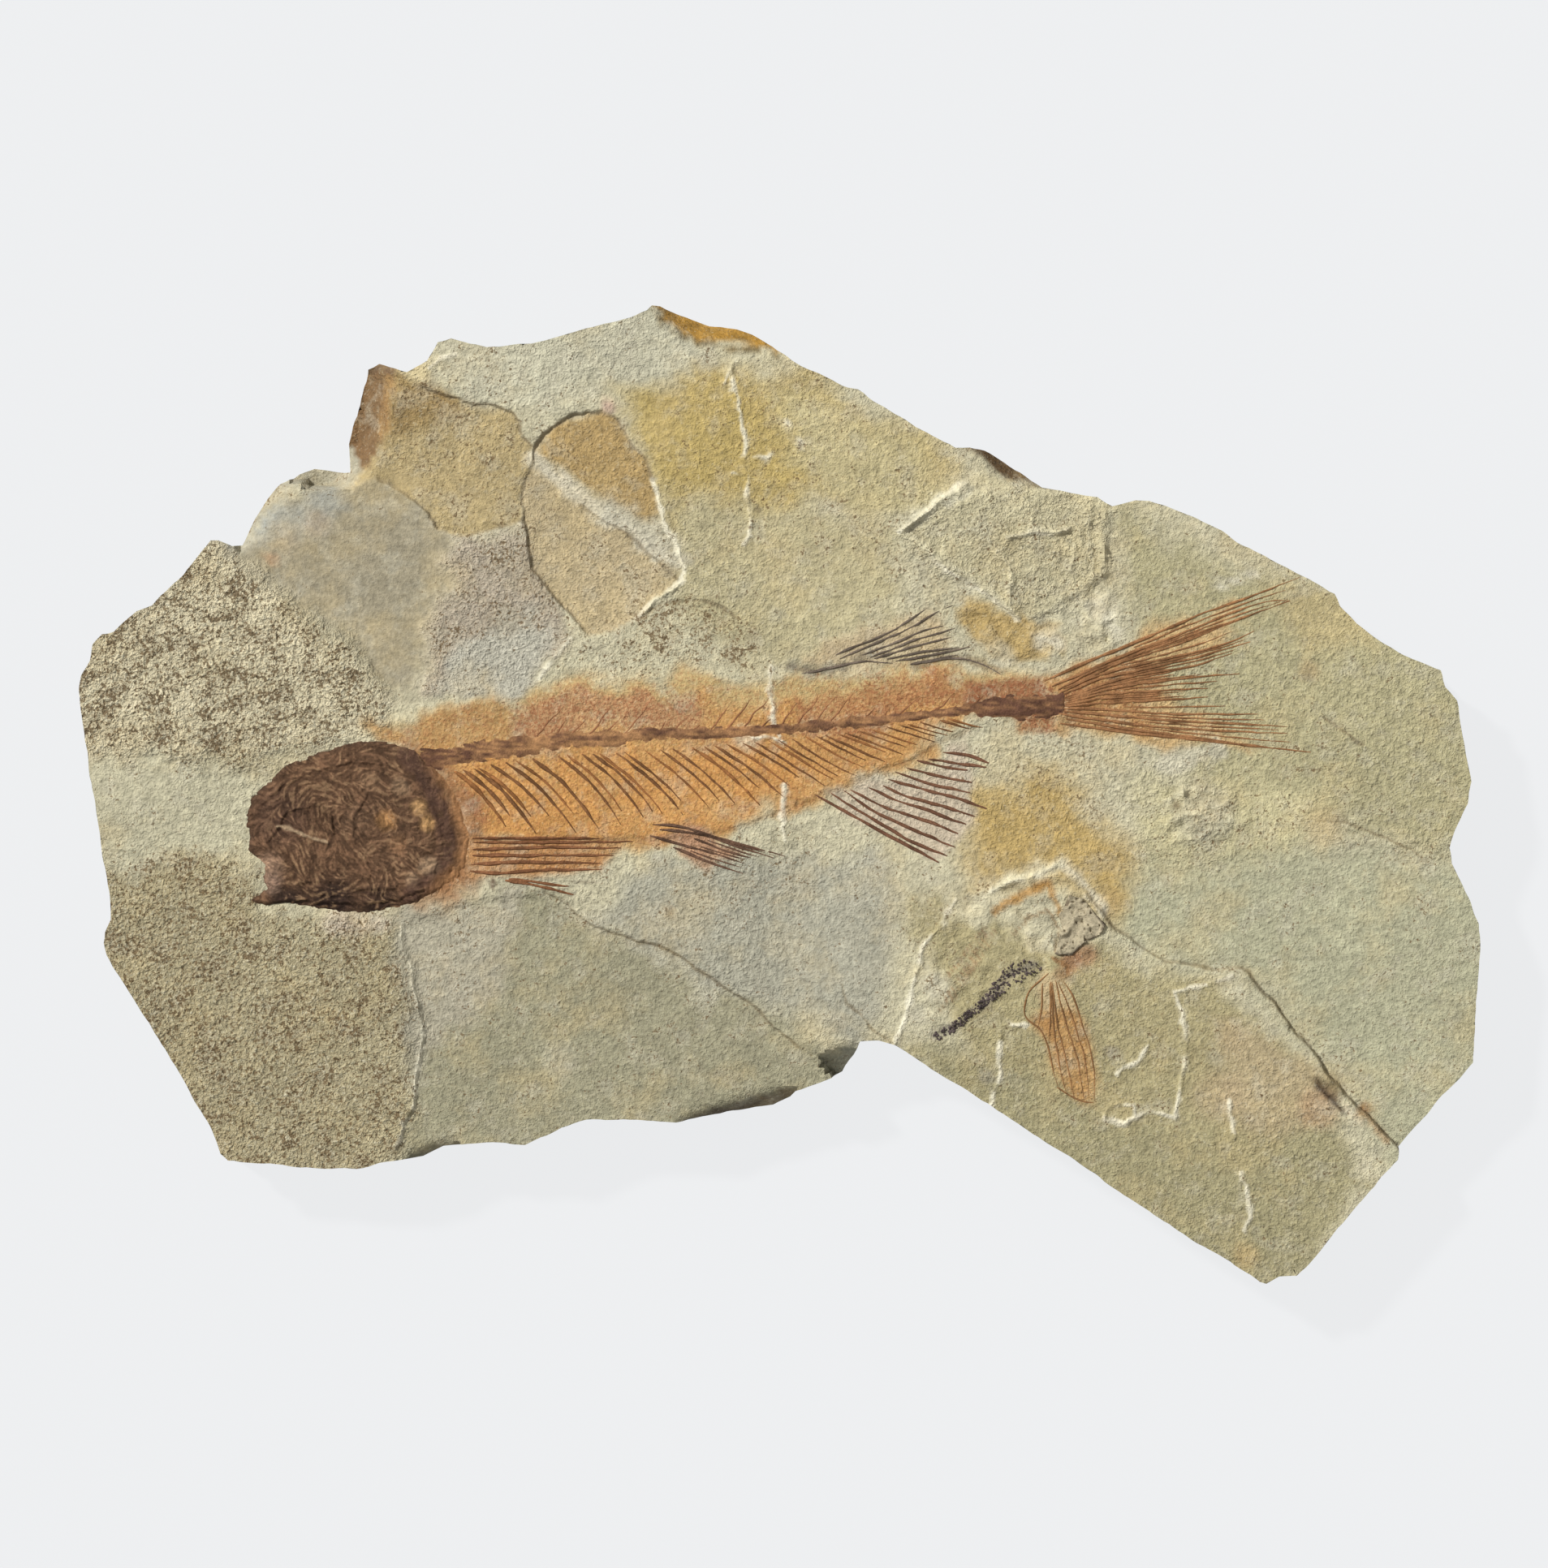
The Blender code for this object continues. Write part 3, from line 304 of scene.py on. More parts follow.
# Blots: the middle, the radius, the colour and the strength.
BLOTS = [
    ((132.0, 118.4), 1.3, (0.330, 0.165, 0.085), 0.8), ((133.8, 117.6), 1.4, (0.330, 0.165, 0.085), 0.7),
    ((131.0, 120.0), 0.9, (0.330, 0.170, 0.080), 0.6), ((136.2, 111.0), 1.6, (0.480, 0.330, 0.140), 0.6),
    ((51.5, 45.5), 1.6, (0.660, 0.560, 0.325), 0.9), ((121.6, 132.9), 0.8, (0.250, 0.235, 0.180), 0.8),
    ((136.8, 129.8), 0.8, (0.260, 0.220, 0.150), 0.7), ((45.2, 47.6), 2.0, (0.245, 0.130, 0.055), 0.8),
    ((100.0, 82.6), 1.1, (0.190, 0.170, 0.115), 0.7), ((97.8, 82.2), 0.9, (0.210, 0.185, 0.125), 0.6),
    ((102.2, 82.2), 1.0, (0.200, 0.175, 0.120), 0.6), ((38.8, 64.6), 1.6, (0.400, 0.300, 0.190), 0.5),
    ((35.0, 66.4), 1.8, (0.390, 0.310, 0.200), 0.5), ((64.0, 70.0), 2.4, (0.390, 0.330, 0.230), 0.6),
    ((62.4, 76.6), 1.8, (0.370, 0.310, 0.215), 0.6), ((41.5, 113.6), 1.5, (0.600, 0.520, 0.430), 0.7),
    ((46.6, 113.9), 1.3, (0.600, 0.530, 0.440), 0.7),
    ((128.2, 109.0), 0.9, (0.420, 0.225, 0.060), 0.8), ((125.0, 110.8), 0.7, (0.430, 0.260, 0.090), 0.6),
    ((115.6, 121.5), 1.7, (0.540, 0.505, 0.385), 0.5), ((113.0, 125.0), 1.3, (0.540, 0.505, 0.385), 0.5),
    ((148.4, 100.6), 3.6, (0.400, 0.375, 0.285), 0.6), ((33.5, 69.0), 0.8, (0.420, 0.250, 0.150), 0.7),
    ((75.0, 50.0), 0.9, (0.480, 0.330, 0.250), 0.8),
    ((81.9, 65.5), 0.35, (0.060, 0.060, 0.030), 0.9), ((93.1, 62.7), 0.35, (0.100, 0.080, 0.050), 0.8),
    ((82.3, 112.5), 0.6, (0.200, 0.140, 0.080), 0.7), ((163.8, 134.4), 1.3, (0.110, 0.080, 0.040), 0.8),
    ((168.3, 136.6), 0.9, (0.280, 0.140, 0.050), 0.8), ((162.4, 136.6), 2.4, (0.400, 0.240, 0.125), 0.6),
    ((150.0, 135.0), 3.0, (0.440, 0.320, 0.190), 0.4), ((151.5, 127.5), 2.0, (0.430, 0.320, 0.180), 0.4),
    ((144.9, 99.3), 0.6, (0.120, 0.090, 0.050), 0.8), ((161.3, 82.6), 1.4, (0.350, 0.240, 0.120), 0.5),
    ((153.5, 154.8), 1.6, (0.460, 0.330, 0.150), 0.6), ((163.0, 102.0), 2.2, (0.440, 0.330, 0.170), 0.5),
    ((137.4, 83.9), 0.7, (0.090, 0.045, 0.025), 0.9), ((60.5, 109.0), 0.5, (0.120, 0.080, 0.050), 0.8),
    ((97.0, 52.4), 0.6, (0.620, 0.590, 0.480), 0.7), ((98.5, 54.7), 0.6, (0.620, 0.590, 0.480), 0.7),
    ((44.0, 113.6), 2.0, (0.560, 0.450, 0.340), 0.6), ((92.0, 91.0), 1.6, (0.620, 0.520, 0.360), 0.7),
    ((136.0, 75.0), 2.0, (0.580, 0.545, 0.410), 0.5), ((129.0, 78.6), 1.6, (0.580, 0.545, 0.410), 0.5),
    ((123.2, 80.7), 1.6, (0.580, 0.545, 0.410), 0.6), ((69.0, 130.8), 2.0, (0.430, 0.400, 0.290), 0.6),
]
# Where dark specks crowd the face: an outline, how dense, and how softly it ends.
SPECKLES = [
    (LEFT_PLATE, 0.88, 2.5), (LEFT_LOW_PLATE, 0.76, 2.0), (SPECKLED_PATCH, 0.62, 1.0),
    (PALE_POCKET, 0.20, 2.0),
    ([(78.4, 75), (85.4, 74), (91, 75), (92, 81), (84, 82.4), (75, 81.4)], 0.80, 1.2),
    ([(33, 58), (43, 58), (43, 60), (35, 61.6), (31, 67), (28, 67)], 0.75, 0.5),
    (BROWN_PLATE, 0.42, 1.0), (CLINGING_BED, 0.36, 1.0), (GREY_FLOOR, 0.27, 2.0),
    ([(142.8, 97), (153, 97), (154, 104), (144, 105)], 0.40, 1.5),
    ([(93, 105), (100, 100), (100, 109), (94, 111)], 0.45, 1.0),
    (LEAF_SCAR, 0.30, 0.8), (LOWER_RIGHT_BED, 0.26, 2.0), (SMOOTH_LOBE, 0.02, 3.0),
    (BODY, 0.14, 1.0),
]
# How gritty the skin is: an outline, how much, and how softly it ends.
GRITS = [
    (SMOOTH_LOBE, 0.14, 4.0), (GREY_FLOOR, 0.30, 1.0), (LEFT_PLATE, 0.95, 3.0), (LEFT_LOW_PLATE, 0.75, 3.0),
    (LEAF_SCAR, 0.34, 0.5), (LOWER_RIGHT_BED, 0.26, 2.5), (BODY, 0.26, 1.0), (SPECKLED_PATCH, 0.50, 2.0),
    (CLINGING_BED, 0.60, 1.5),
]
# Patches of broken, crumpled bed: an outline, how high the crumples stand and how wide they are.
CRUMPLES = [
    (CLINGING_BED, 0.17, 3.2),
    ([(142.8, 97), (150, 96.4), (154, 100), (152, 104.5), (144, 104)], 0.42, 2.4),
    ([(118, 74), (126, 76), (134, 74), (137, 79), (130, 81.5), (121, 81)], 0.30, 2.6),
    ([(117, 113), (121, 109), (130, 106.4), (137, 113), (135, 119), (126, 121), (117, 127),
      (112, 124)], 0.26, 2.2),
    ([(133, 62.6), (138, 62.4), (137, 80), (133, 79)], 0.34, 2.0),
    ([(92, 108), (97, 98), (100, 98), (100, 108)], 0.18, 1.4),
]
# Ridges of broken bed: how high, how wide, and the line.
FRAGMENT_BROW = [(119.7, 112.7), (121.6, 110.4), (124.3, 108.1), (127.4, 107.5), (130.4, 106.5)]
RIDGES = [
    (0.42, 0.55, [(111.4, 65.3), (114.2, 63.0), (116.4, 61.2), (119.0, 59.8)]),
    (0.30, 0.50, [(112.8, 66.6), (116.0, 69.0), (119.8, 71.4), (123.0, 73.8), (125.3, 75.8)]),
    (0.34, 0.50, [(123.1, 67.8), (124.3, 69.8), (124.6, 71.9), (124.3, 74.2)]),
    (0.30, 0.45, [(124.3, 66.0), (128.0, 65.4), (131.7, 65.5)]),
    (0.26, 0.40, CLINGING_BED[15:11:-1]),
    (0.24, 0.40, [(134.3, 64.2), (134.5, 68.3), (134.3, 71.9)]),
    (0.26, 0.45, [(136.8, 62.7), (136.3, 65.5), (135.8, 69.8), (135.8, 71.3)]),
    (0.28, 0.40, [(132.5, 67.3), (132.0, 70.6)]),
    (0.10, 0.60, FRAGMENT_BROW),
    (0.20, 0.35, [(117.7, 66.0), (120.6, 64.8), (122.0, 66.8)]),
    (0.30, 0.50, [(143.6, 98.8), (146.4, 97.2), (150.6, 97.6)]),
    (0.30, 0.45, [(144.4, 101.0), (147.4, 100.2), (150.0, 101.8)]),
    (0.26, 0.40, [(149.0, 98.4), (151.6, 100.6), (151.2, 103.2)]),
    (0.22, 0.35, [(79.6, 75.4), (80.6, 73.9), (83.4, 72.2)]),
]
# Streaks that are only colour: a line, its half width, its colour and its strength.
LOOSE_STRIP = [(115.6, 127.9), (117.7, 126.3), (119.7, 124.8), (121.6, 123.2), (123.0, 121.7),
               (124.7, 119.9), (127.1, 119.0)]
SMEARS = [
    ([(122.8, 112.1), (125.1, 110.8), (127.8, 109.2), (129.2, 108.8), (129.8, 110.4), (130.4, 112.3)],
     0.50, (0.400, 0.205, 0.050), 0.80),
    (LOOSE_STRIP, 0.60, (0.190, 0.165, 0.135), 0.65),
    (FRAGMENT_BROW, 0.95, (0.640, 0.570, 0.380), 0.75),
    ([(115.8, 124.6), (118.8, 119.0), (121.8, 115.0)], 0.14, (0.300, 0.190, 0.100), 0.8),
    ([(116.6, 120.4), (119.0, 117.2), (121.6, 114.4)], 0.14, (0.300, 0.190, 0.100), 0.8),
    ([(117.2, 123.4), (119.6, 119.4), (122.2, 116.4)], 0.14, (0.320, 0.210, 0.110), 0.7),
    ([(118.4, 120.8), (120.2, 117.8), (122.8, 114.8)], 0.12, (0.320, 0.210, 0.110), 0.7),
    ([(124.8, 114.8), (126.6, 113.0), (129.0, 112.4), (130.6, 114.6), (130.0, 117.4)],
     0.16, (0.280, 0.190, 0.100), 0.8),
    ([(129.8, 118.0), (131.4, 119.2), (131.8, 120.8)], 0.22, (0.260, 0.130, 0.050), 0.8),
    ([(112.4, 82.0), (116.0, 80.9), (118.8, 81.0), (121.4, 81.8), (123.4, 83.0)],
     0.45, (0.200, 0.150, 0.095), 0.75),
    ([(97.4, 82.0), (100.6, 82.8), (104.0, 82.0), (107.6, 80.4)], 0.38, (0.170, 0.140, 0.095), 0.8),
    ([(62.2, 108.6), (67.2, 109.4), (71.0, 110.4)], 0.10, (0.230, 0.190, 0.130), 0.7),
    ([(66.0, 108.2), (71.0, 108.6), (76.0, 109.0)], 0.10, (0.260, 0.220, 0.150), 0.7),
    ([(60.3, 108.4), (60.6, 109.6)], 0.25, (0.160, 0.110, 0.070), 0.8),
    ([(54.6, 116.6), (55.8, 120.7), (57.0, 124.4)], 0.20, (0.420, 0.370, 0.270), 0.6),
    ([(65.8, 56.4), (70.2, 60.2), (77.0, 65.0), (83.0, 69.4)], 0.9, (0.640, 0.590, 0.450), 0.8),
    ([(75.0, 62.6), (79.0, 65.2), (83.4, 68.8)], 1.7, (0.540, 0.505, 0.385), 0.65),
    ([(162.2, 133.2), (163.4, 134.8), (164.6, 135.9), (165.6, 136.7)], 0.34, (0.050, 0.030, 0.018), 0.95),
    ([(164.9, 135.0), (166.2, 136.4), (167.8, 138.4)], 0.28, (0.640, 0.540, 0.380), 0.7),
    ([(167.6, 136.8), (169.2, 138.6), (170.8, 140.6)], 0.45, (0.300, 0.165, 0.070), 0.6),
    # A broad pale band on the clinging bed's lit upper edge: painted highlight.
    ([(112.0, 65.0), (115.0, 62.4), (118.6, 60.2)], 0.8, (0.660, 0.620, 0.460), 0.8),
    ([(134.9, 74.5), (137.0, 77.6)], 1.0, (0.600, 0.560, 0.420), 0.8),
    ([(127.8, 78.4), (130.2, 79.4)], 0.9, (0.620, 0.570, 0.430), 0.8),
    ([(143.5, 94.4), (149.6, 92.4)], 1.1, (0.540, 0.500, 0.370), 0.8),
    ([(131.0, 106.6), (133.4, 109.0), (136.0, 112.4)], 0.7, (0.660, 0.620, 0.480), 0.8),
    ([(150.3, 72.4), (154.4, 70.6)], 0.6, (0.640, 0.600, 0.460), 0.8),
]
CELL = 0.75
FINE_BAND = 0.75
FINEST_BAND = 0.45
SIDE_BEDS = 7
FOOT_INSET = 0.12
UNDER_CELL = 1.7


def spot(x, y):
    """A point of the drawing, in millimetres from its top left, as metres across the slab."""
    return (x - SLAB_MIDDLE[0]) * MM, (SLAB_MIDDLE[1] - y) * MM


def drawn(x, y):
    """The reverse of spot."""
    return x / MM + SLAB_MIDDLE[0], SLAB_MIDDLE[1] - y / MM


def noise(x, y, size, seed):
    """Smooth, seeded ups and downs from -1 to 1, about size millimetres across."""
    table = np.random.default_rng(seed).uniform(-1, 1, (97, 97))
    u, v = x / size + 31.7, y / size + 17.3
    i, j = np.floor(u).astype(int), np.floor(v).astype(int)
    u, v = u - i, v - j
    u, v = u * u * (3 - 2 * u), v * v * (3 - 2 * v)
    low = table[i % 97, j % 97] * (1 - u) + table[(i + 1) % 97, j % 97] * u
    high = table[i % 97, (j + 1) % 97] * (1 - u) + table[(i + 1) % 97, (j + 1) % 97] * u
    return low * (1 - v) + high * v


def rough(x, y, size, seed, layers=4):
    """Noise with finer and finer noise on top, each layer turned so that no grid shows."""
    total, weight = 0.0, 1.0
    for layer in range(layers):
        turn = 0.7 + layer * 1.1
        u = x * math.cos(turn) - y * math.sin(turn)
        v = x * math.sin(turn) + y * math.cos(turn)
        total = total + weight * noise(u, v, size / 2 ** layer, seed + layer)
        weight *= 0.55
    return total


def ramp(value, low, high):
    """0 at low, 1 at high, smooth between them."""
    share = np.clip((value - low) / (high - low), 0, 1)
    return share * share * (3 - 2 * share)


def off_line(x, y, line):
    """How far each point is from a drawn line."""
    best = np.full(np.shape(x), 1e9)
    for (ax, ay), (bx, by) in zip(line, line[1:]):
        dx, dy = bx - ax, by - ay
        share = np.clip(((x - ax) * dx + (y - ay) * dy) / (dx * dx + dy * dy), 0, 1)
        best = np.minimum(best, np.hypot(x - ax - share * dx, y - ay - share * dy))
    return best


def within(x, y, outline, soft):
    """1 inside a drawn outline and 0 outside it, with a soft border."""
    crossings = np.zeros(np.shape(x), bool)
    for (ax, ay), (bx, by) in zip(outline, outline[1:] + outline[:1]):
        if ay != by:
            crossings ^= ((ay > y) != (by > y)) & (x < (bx - ax) * (y - ay) / (by - ay) + ax)
    away = off_line(x, y, outline + outline[:1])
    return ramp(np.where(crossings, away, -away), -soft / 2, soft / 2)


def warped(x, y):
    """Pushes points about a little, so that drawn borders come out ragged."""
    return (
        x + 0.30 * noise(x, y, 2.3, 11) + 0.12 * noise(x, y, 0.7, 12),
        y + 0.30 * noise(x, y, 2.3, 13) + 0.12 * noise(x, y, 0.7, 14),
    )


def chip_fall(x, y):
    """How far the chipped edges fall below the top face, in millimetres."""
    fall = np.zeros(np.shape(x))
    for slope, way, line in CHIPS:
        out = np.array(way) / np.hypot(*way)
        sideways = np.array([-out[1], out[0]])
        ends = sorted(float(np.dot(point, sideways)) for point in line)
        reach = sorted((float(np.dot(point, sideways)), float(np.dot(point, out))) for point in line)
        place = x * sideways[0] + y * sideways[1]
        start = np.interp(place, [at for at, far in reach], [far for at, far in reach])
        beyond = x * out[0] + y * out[1] - start
        beside = (place > ends[0]) & (place < ends[-1]) & (beyond < CHIP_REACH)
        fall = np.maximum(fall, np.where(beside, slope * np.maximum(beyond, 0), 0))
    return np.minimum(fall, CHIP_DEEPEST)


def ground(x, y):
    """The height of the slab's face above its underside, in millimetres."""
    x, y = np.asarray(x, float), np.asarray(y, float)
    wx, wy = warped(x, y)
    rise = SLAB_TOP - 0.15 + 0.10 * rough(x, y, 26, 21)
    rise += 0.035 * rough(x, y, 3.2, 22) + 0.018 * rough(x, y, 0.9, 23)
    left = within(wx, wy, LEFT_PLATE, 1.5) + within(wx, wy, LEFT_LOW_PLATE, 1.5)
    rise += left * 0.05 * rough(x, y, 1.4, 24)
    for outline, level, soft in BED_LEVELS:
        rise += level * within(wx, wy, outline, soft)
    rise -= within(wx, wy, SPECKLED_PATCH, 2.0) * 0.05 * rough(x, y, 1.2, 26)
    hinge_x, hinge_y = STEP_LINE[0]
    below_hinge = np.clip((y - hinge_y) + (x - hinge_x) * 0.045, 0, None)
    rise -= within(wx, wy, LOWER_RIGHT_BED, 0.3) * (0.12 + BED_DIP * below_hinge)
    for outline, height, size in CRUMPLES:
        folds = 1 - 2 * np.abs(noise(wx, wy, size, 27) + 0.5 * noise(wx, wy, size / 2.3, 28))
        rise += within(wx, wy, outline, 1.4) * height * np.clip(folds, -0.6, 0.9)
    for height, width, line in RIDGES:
        rise += height * ramp(off_line(wx, wy, line), width, 0.05)
    for line in VEINS_AND_LIT_EDGES:
        rise += SEAM_HEIGHT * ramp(off_line(wx, wy, line), SEAM_WIDTH, 0.05)
    for line in CRACKS:
        rise -= CRACK_DEPTH * ramp(off_line(wx, wy, line), CRACK_WIDTH, 0.05)
    rise -= 0.05 * ramp(off_line(wx, wy, BELLY), 0.35, 0.05)
    return rise - chip_fall(wx, wy)


def places(verts):
    """The drawn x and y of a bmesh's points."""
    return drawn(*np.array([tuple(vert.co)[:2] for vert in verts]).T)


def cross_cut(bm, cell, faces=None):
    """Cuts flat faces, or the whole mesh, into square cells."""
    for axis in (0, 1):
        reach = [vert.co[axis] for vert in bm.verts]
        way = Vector((1 - axis, axis, 0))
        for at in np.arange(min(reach) + cell * MM * 0.5, max(reach), cell * MM):
            parts = bm.faces[:] + bm.edges[:] + bm.verts[:]
            if faces:
                edges = dict.fromkeys(edge for face in faces for edge in face.edges)
                parts = [*faces, *edges, *dict.fromkeys(vert for edge in edges for vert in edge.verts)]
            made = bmesh.ops.bisect_plane(bm, geom=parts, dist=1e-6, plane_co=way * at, plane_no=way)
            if faces:
                faces = [part for part in made["geom"] if isinstance(part, bmesh.types.BMFace)]
    return faces


def cells(outline, cell):
    """A flat face in a drawn outline, cut into square cells."""
    bm = bmesh.new()
    face = bm.faces.new([bm.verts.new((*spot(x, y), 0.0)) for x, y in outline])
    face.normal_update()
    if face.normal.z < 0:
        face.normal_flip()
    cross_cut(bm, cell)
    return bm


def ragged(outline, step, depth, seed):
    """A drawn outline with a point every step or so, bitten inwards unevenly."""
    points = []
    for (ax, ay), (bx, by) in zip(outline, outline[1:] + outline[:1]):
        count = max(1, round(math.hypot(bx - ax, by - ay) / step))
        points += [(ax + (bx - ax) * i / count, ay + (by - ay) * i / count) for i in range(count)]
    x, y = np.array(points).T
    run_x, run_y = np.roll(x, -1) - np.roll(x, 1), np.roll(y, -1) - np.roll(y, 1)
    length = np.hypot(run_x, run_y)
    bite = depth * (0.5 + 0.5 * np.clip(rough(x, y, step * 4, seed), -1, 1))
    return [(float(a), float(b)) for a, b in zip(x - run_y / length * bite, y + run_x / length * bite)]


def refine(bm, lines, areas, band):
    """Halves the cells that touch a drawn line's band or lie inside an area."""
    edges = bm.edges[:]
    x, y = drawn(*np.array([tuple((e.verts[0].co + e.verts[1].co) / 2)[:2] for e in edges]).T)
    near = np.zeros(len(edges), bool)
    for line in lines:
        near |= off_line(x, y, line) < band
    for area in areas:
        near |= within(x, y, area, 0.01) > 0.5
    chosen = [edge for edge, hit in zip(edges, near) if hit]
    bmesh.ops.subdivide_edges(bm, edges=chosen, cuts=1, use_grid_fill=True)


def washed(tint, share, colour):
    """Lays a colour over the painted tint, by each point's share."""
    share = share[:, None]
    return tint * (1 - share) + np.array(colour) * share


def paint(obj, name, values):
    """Stores a colour for each of a mesh's points."""
    layer = obj.data.color_attributes.new(name, "FLOAT_COLOR", "POINT")
    rgba = np.ones((len(obj.data.vertices), 4), np.float32)
    rgba[:, :3] = values
    layer.data.foreach_set("color", rgba.ravel())


def points_of(obj):
    """The drawn x, y and the height of a mesh's points, in millimetres."""
    flat = np.empty(len(obj.data.vertices) * 3, np.float32)
    obj.data.vertices.foreach_get("co", flat)
    x, y, z = flat.reshape(-1, 3).T.astype(float)
    return (*drawn(x, y), z / MM)


def finished(name, bm, material):
    """Makes an object of a bmesh, with smooth faces and crisp breaks."""
    mesh = bpy.data.meshes.new(name)
    bm.to_mesh(mesh)
    bm.free()
    mesh.shade_smooth()
    mesh.set_sharp_from_angle(angle=math.radians(50))
    mesh.materials.append(material)
    obj = bpy.data.objects.new(name, mesh)
    bpy.context.scene.collection.objects.link(obj)
    return obj


def wall_in(bm, drops, move):
    """Extrudes the open border down in rings and closes it underneath.

    move gives each point of a ring its new place from its place on the border and the ring."""
    border = [edge for edge in bm.edges if edge.is_boundary]
    home = {vert: vert.co.copy() for edge in border for vert in edge.verts}
    for ring in range(drops):
        raised = bmesh.ops.extrude_edge_only(bm, edges=border)["geom"]
        border = [part for part in raised if isinstance(part, bmesh.types.BMEdge) and part.is_boundary]
        fresh = {vert for edge in border for vert in edge.verts}
        above = {}
        for vert in fresh:
            above[vert] = next(e.other_vert(vert) for e in vert.link_edges if e.other_vert(vert) in home)
        home = {vert: home[above[vert]] for vert in fresh}
        for vert, place in home.items():
            vert.co = move(place, ring)
    bmesh.ops.contextual_create(bm, geom=border)
    bmesh.ops.recalc_face_normals(bm, faces=bm.faces)


def node(tree, kind, values=(), **settings):
    """Adds a shader node, sets its properties, and sets or links its sockets by name."""
    made = tree.nodes.new(kind)
    for key, value in settings.items():
        setattr(made, key, value)
    for key, value in dict(values).items():
        if isinstance(value, bpy.types.NodeSocket):
            tree.links.new(value, made.inputs[key])
        else:
            made.inputs[key].default_value = value
    return made


def blended(tree, factor, first, second, kind="MIX"):
    """Mixes two colours."""
    made = node(tree, "ShaderNodeMix", data_type="RGBA", blend_type=kind)
    for socket, value in ((0, factor), (6, first), (7, second)):
        if isinstance(value, bpy.types.NodeSocket):
            tree.links.new(value, made.inputs[socket])
        else:
            made.inputs[socket].default_value = (*value, 1.0) if socket else value
    return made.outputs[2]


def grain(tree, place, size, detail=6.0, roughness=0.65):
    """Noise with features about size millimetres across."""
    made = node(tree, "ShaderNodeTexNoise", {
        "Vector": place, "Scale": 1 / (size * MM), "Detail": detail, "Roughness": roughness})
    return made.outputs["Fac"]


def spread(tree, value, low, high, to_low=0.0, to_high=1.0):
    """Stretches a value from one range to another."""
    made = node(tree, "ShaderNodeMapRange", {
        "Value": value, "From Min": low, "From Max": high, "To Min": to_low, "To Max": to_high})
    return made.outputs["Result"]


def times(tree, first, second):
    """Multiplies two values."""
    return node(tree, "ShaderNodeMath", {0: first, 1: second}, operation="MULTIPLY").outputs[0]


def plus(tree, first, second):
    """Adds two values."""
    return node(tree, "ShaderNodeMath", {0: first, 1: second}, operation="ADD").outputs[0]


OCHRE = (0.560, 0.425, 0.200)
CHALKY = (0.560, 0.540, 0.430)
TAWNY = (0.400, 0.310, 0.175)
DARK_SPECK = (0.160, 0.102, 0.046)
PALE_GRAIN_AND_HIGHLIGHT = (0.800, 0.750, 0.560)
RUSTY_FLESH = (0.290, 0.110, 0.050)
SKIN_RELIEF = 1.1


def stone_material(name):
    """Dry mudstone: the painted tint with ochre clouds, dark mineral specks and a gritty skin, with painted
    shade in the skin's hollows and painted highlight on its peaks.

    The painted marks say how crowded the specks are, how gritty the skin is, and how much
    granular brown flesh film lies on it."""
    material = bpy.data.materials.new(name)
    material.use_nodes = True
    tree = material.node_tree
    shader = tree.nodes["Principled BSDF"]
    place = node(tree, "ShaderNodeTexCoord").outputs["Object"]
    tint = node(tree, "ShaderNodeVertexColor", layer_name="tint").outputs["Color"]
    marks = node(tree, "ShaderNodeSeparateColor", {
        "Color": node(tree, "ShaderNodeVertexColor", layer_name="marks").outputs["Color"]})
    speckle, grit, flesh = marks.outputs[0], marks.outputs[1], marks.outputs[2]
    cloud = grain(tree, place, 8.0, 4.0, 0.62)
    clump = grain(tree, place, 3.4, 3.0, 0.60)
    blotch = grain(tree, place, 1.4, 3.0, 0.66)
    crumb = grain(tree, place, 0.60, 3.0, 0.70)
    speck = grain(tree, place, 0.44, 2.0, 0.75)

    colour = blended(tree, spread(tree, cloud, 0.49, 0.66, 0.0, 0.27), tint, OCHRE)
    colour = blended(tree, spread(tree, clump, 0.52, 0.66, 0.0, 0.22), colour, CHALKY)
    # Painted shade and light: the colour is darker in the hollows and lighter on the peaks of the same noises
    # that raise the skin's bumps.
    light = spread(tree, blotch, 0.32, 0.68, 0.90, 1.22)
    light = times(tree, light, spread(tree, crumb, 0.3, 0.7, 0.84, 1.20))
    colour = blended(tree, 1.0, colour, light, "MULTIPLY")
    wash = times(tree, speckle, spread(tree, clump, 0.44, 0.60, 0.0, 0.30))
    colour = blended(tree, wash, colour, TAWNY)
    crowd = plus(tree, speck, times(tree, plus(tree, clump, -0.5), 0.42))
    crowd = plus(tree, crowd, times(tree, plus(tree, blotch, -0.5), 0.40))
    crowd = plus(tree, crowd, times(tree, speckle, 0.23))
    colour = blended(tree, spread(tree, crowd, 0.70, 0.80, 0.0, 0.85), colour, DARK_SPECK)
    # Pale grains, partly real and partly a painted highlight on the raised grains of the skin's bumps.
    pale = times(tree, grit, spread(tree, speck, 0.42, 0.26, 0.0, 0.80))
    colour = blended(tree, pale, colour, PALE_GRAIN_AND_HIGHLIGHT)
    rust = times(tree, flesh, spread(tree, plus(tree, crumb, speck), 0.94, 1.14, 0.0, 0.85))
    colour = blended(tree, rust, colour, RUSTY_FLESH)
    tree.links.new(colour, shader.inputs["Base Color"])

    relief = plus(tree, times(tree, blotch, 0.9), times(tree, crumb, 1.1))
    relief = plus(tree, relief, times(tree, speck, -0.45))
    bump = node(tree, "ShaderNodeBump", {
        "Height": times(tree, relief, grit), "Strength": 1.0, "Distance": SKIN_RELIEF * MM})
    tree.links.new(bump.outputs["Normal"], shader.inputs["Normal"])
    tree.links.new(spread(tree, crumb, 0.3, 0.7, 0.80, 0.97), shader.inputs["Roughness"])
    shader.inputs["Specular IOR Level"].default_value = 0.2
    return material


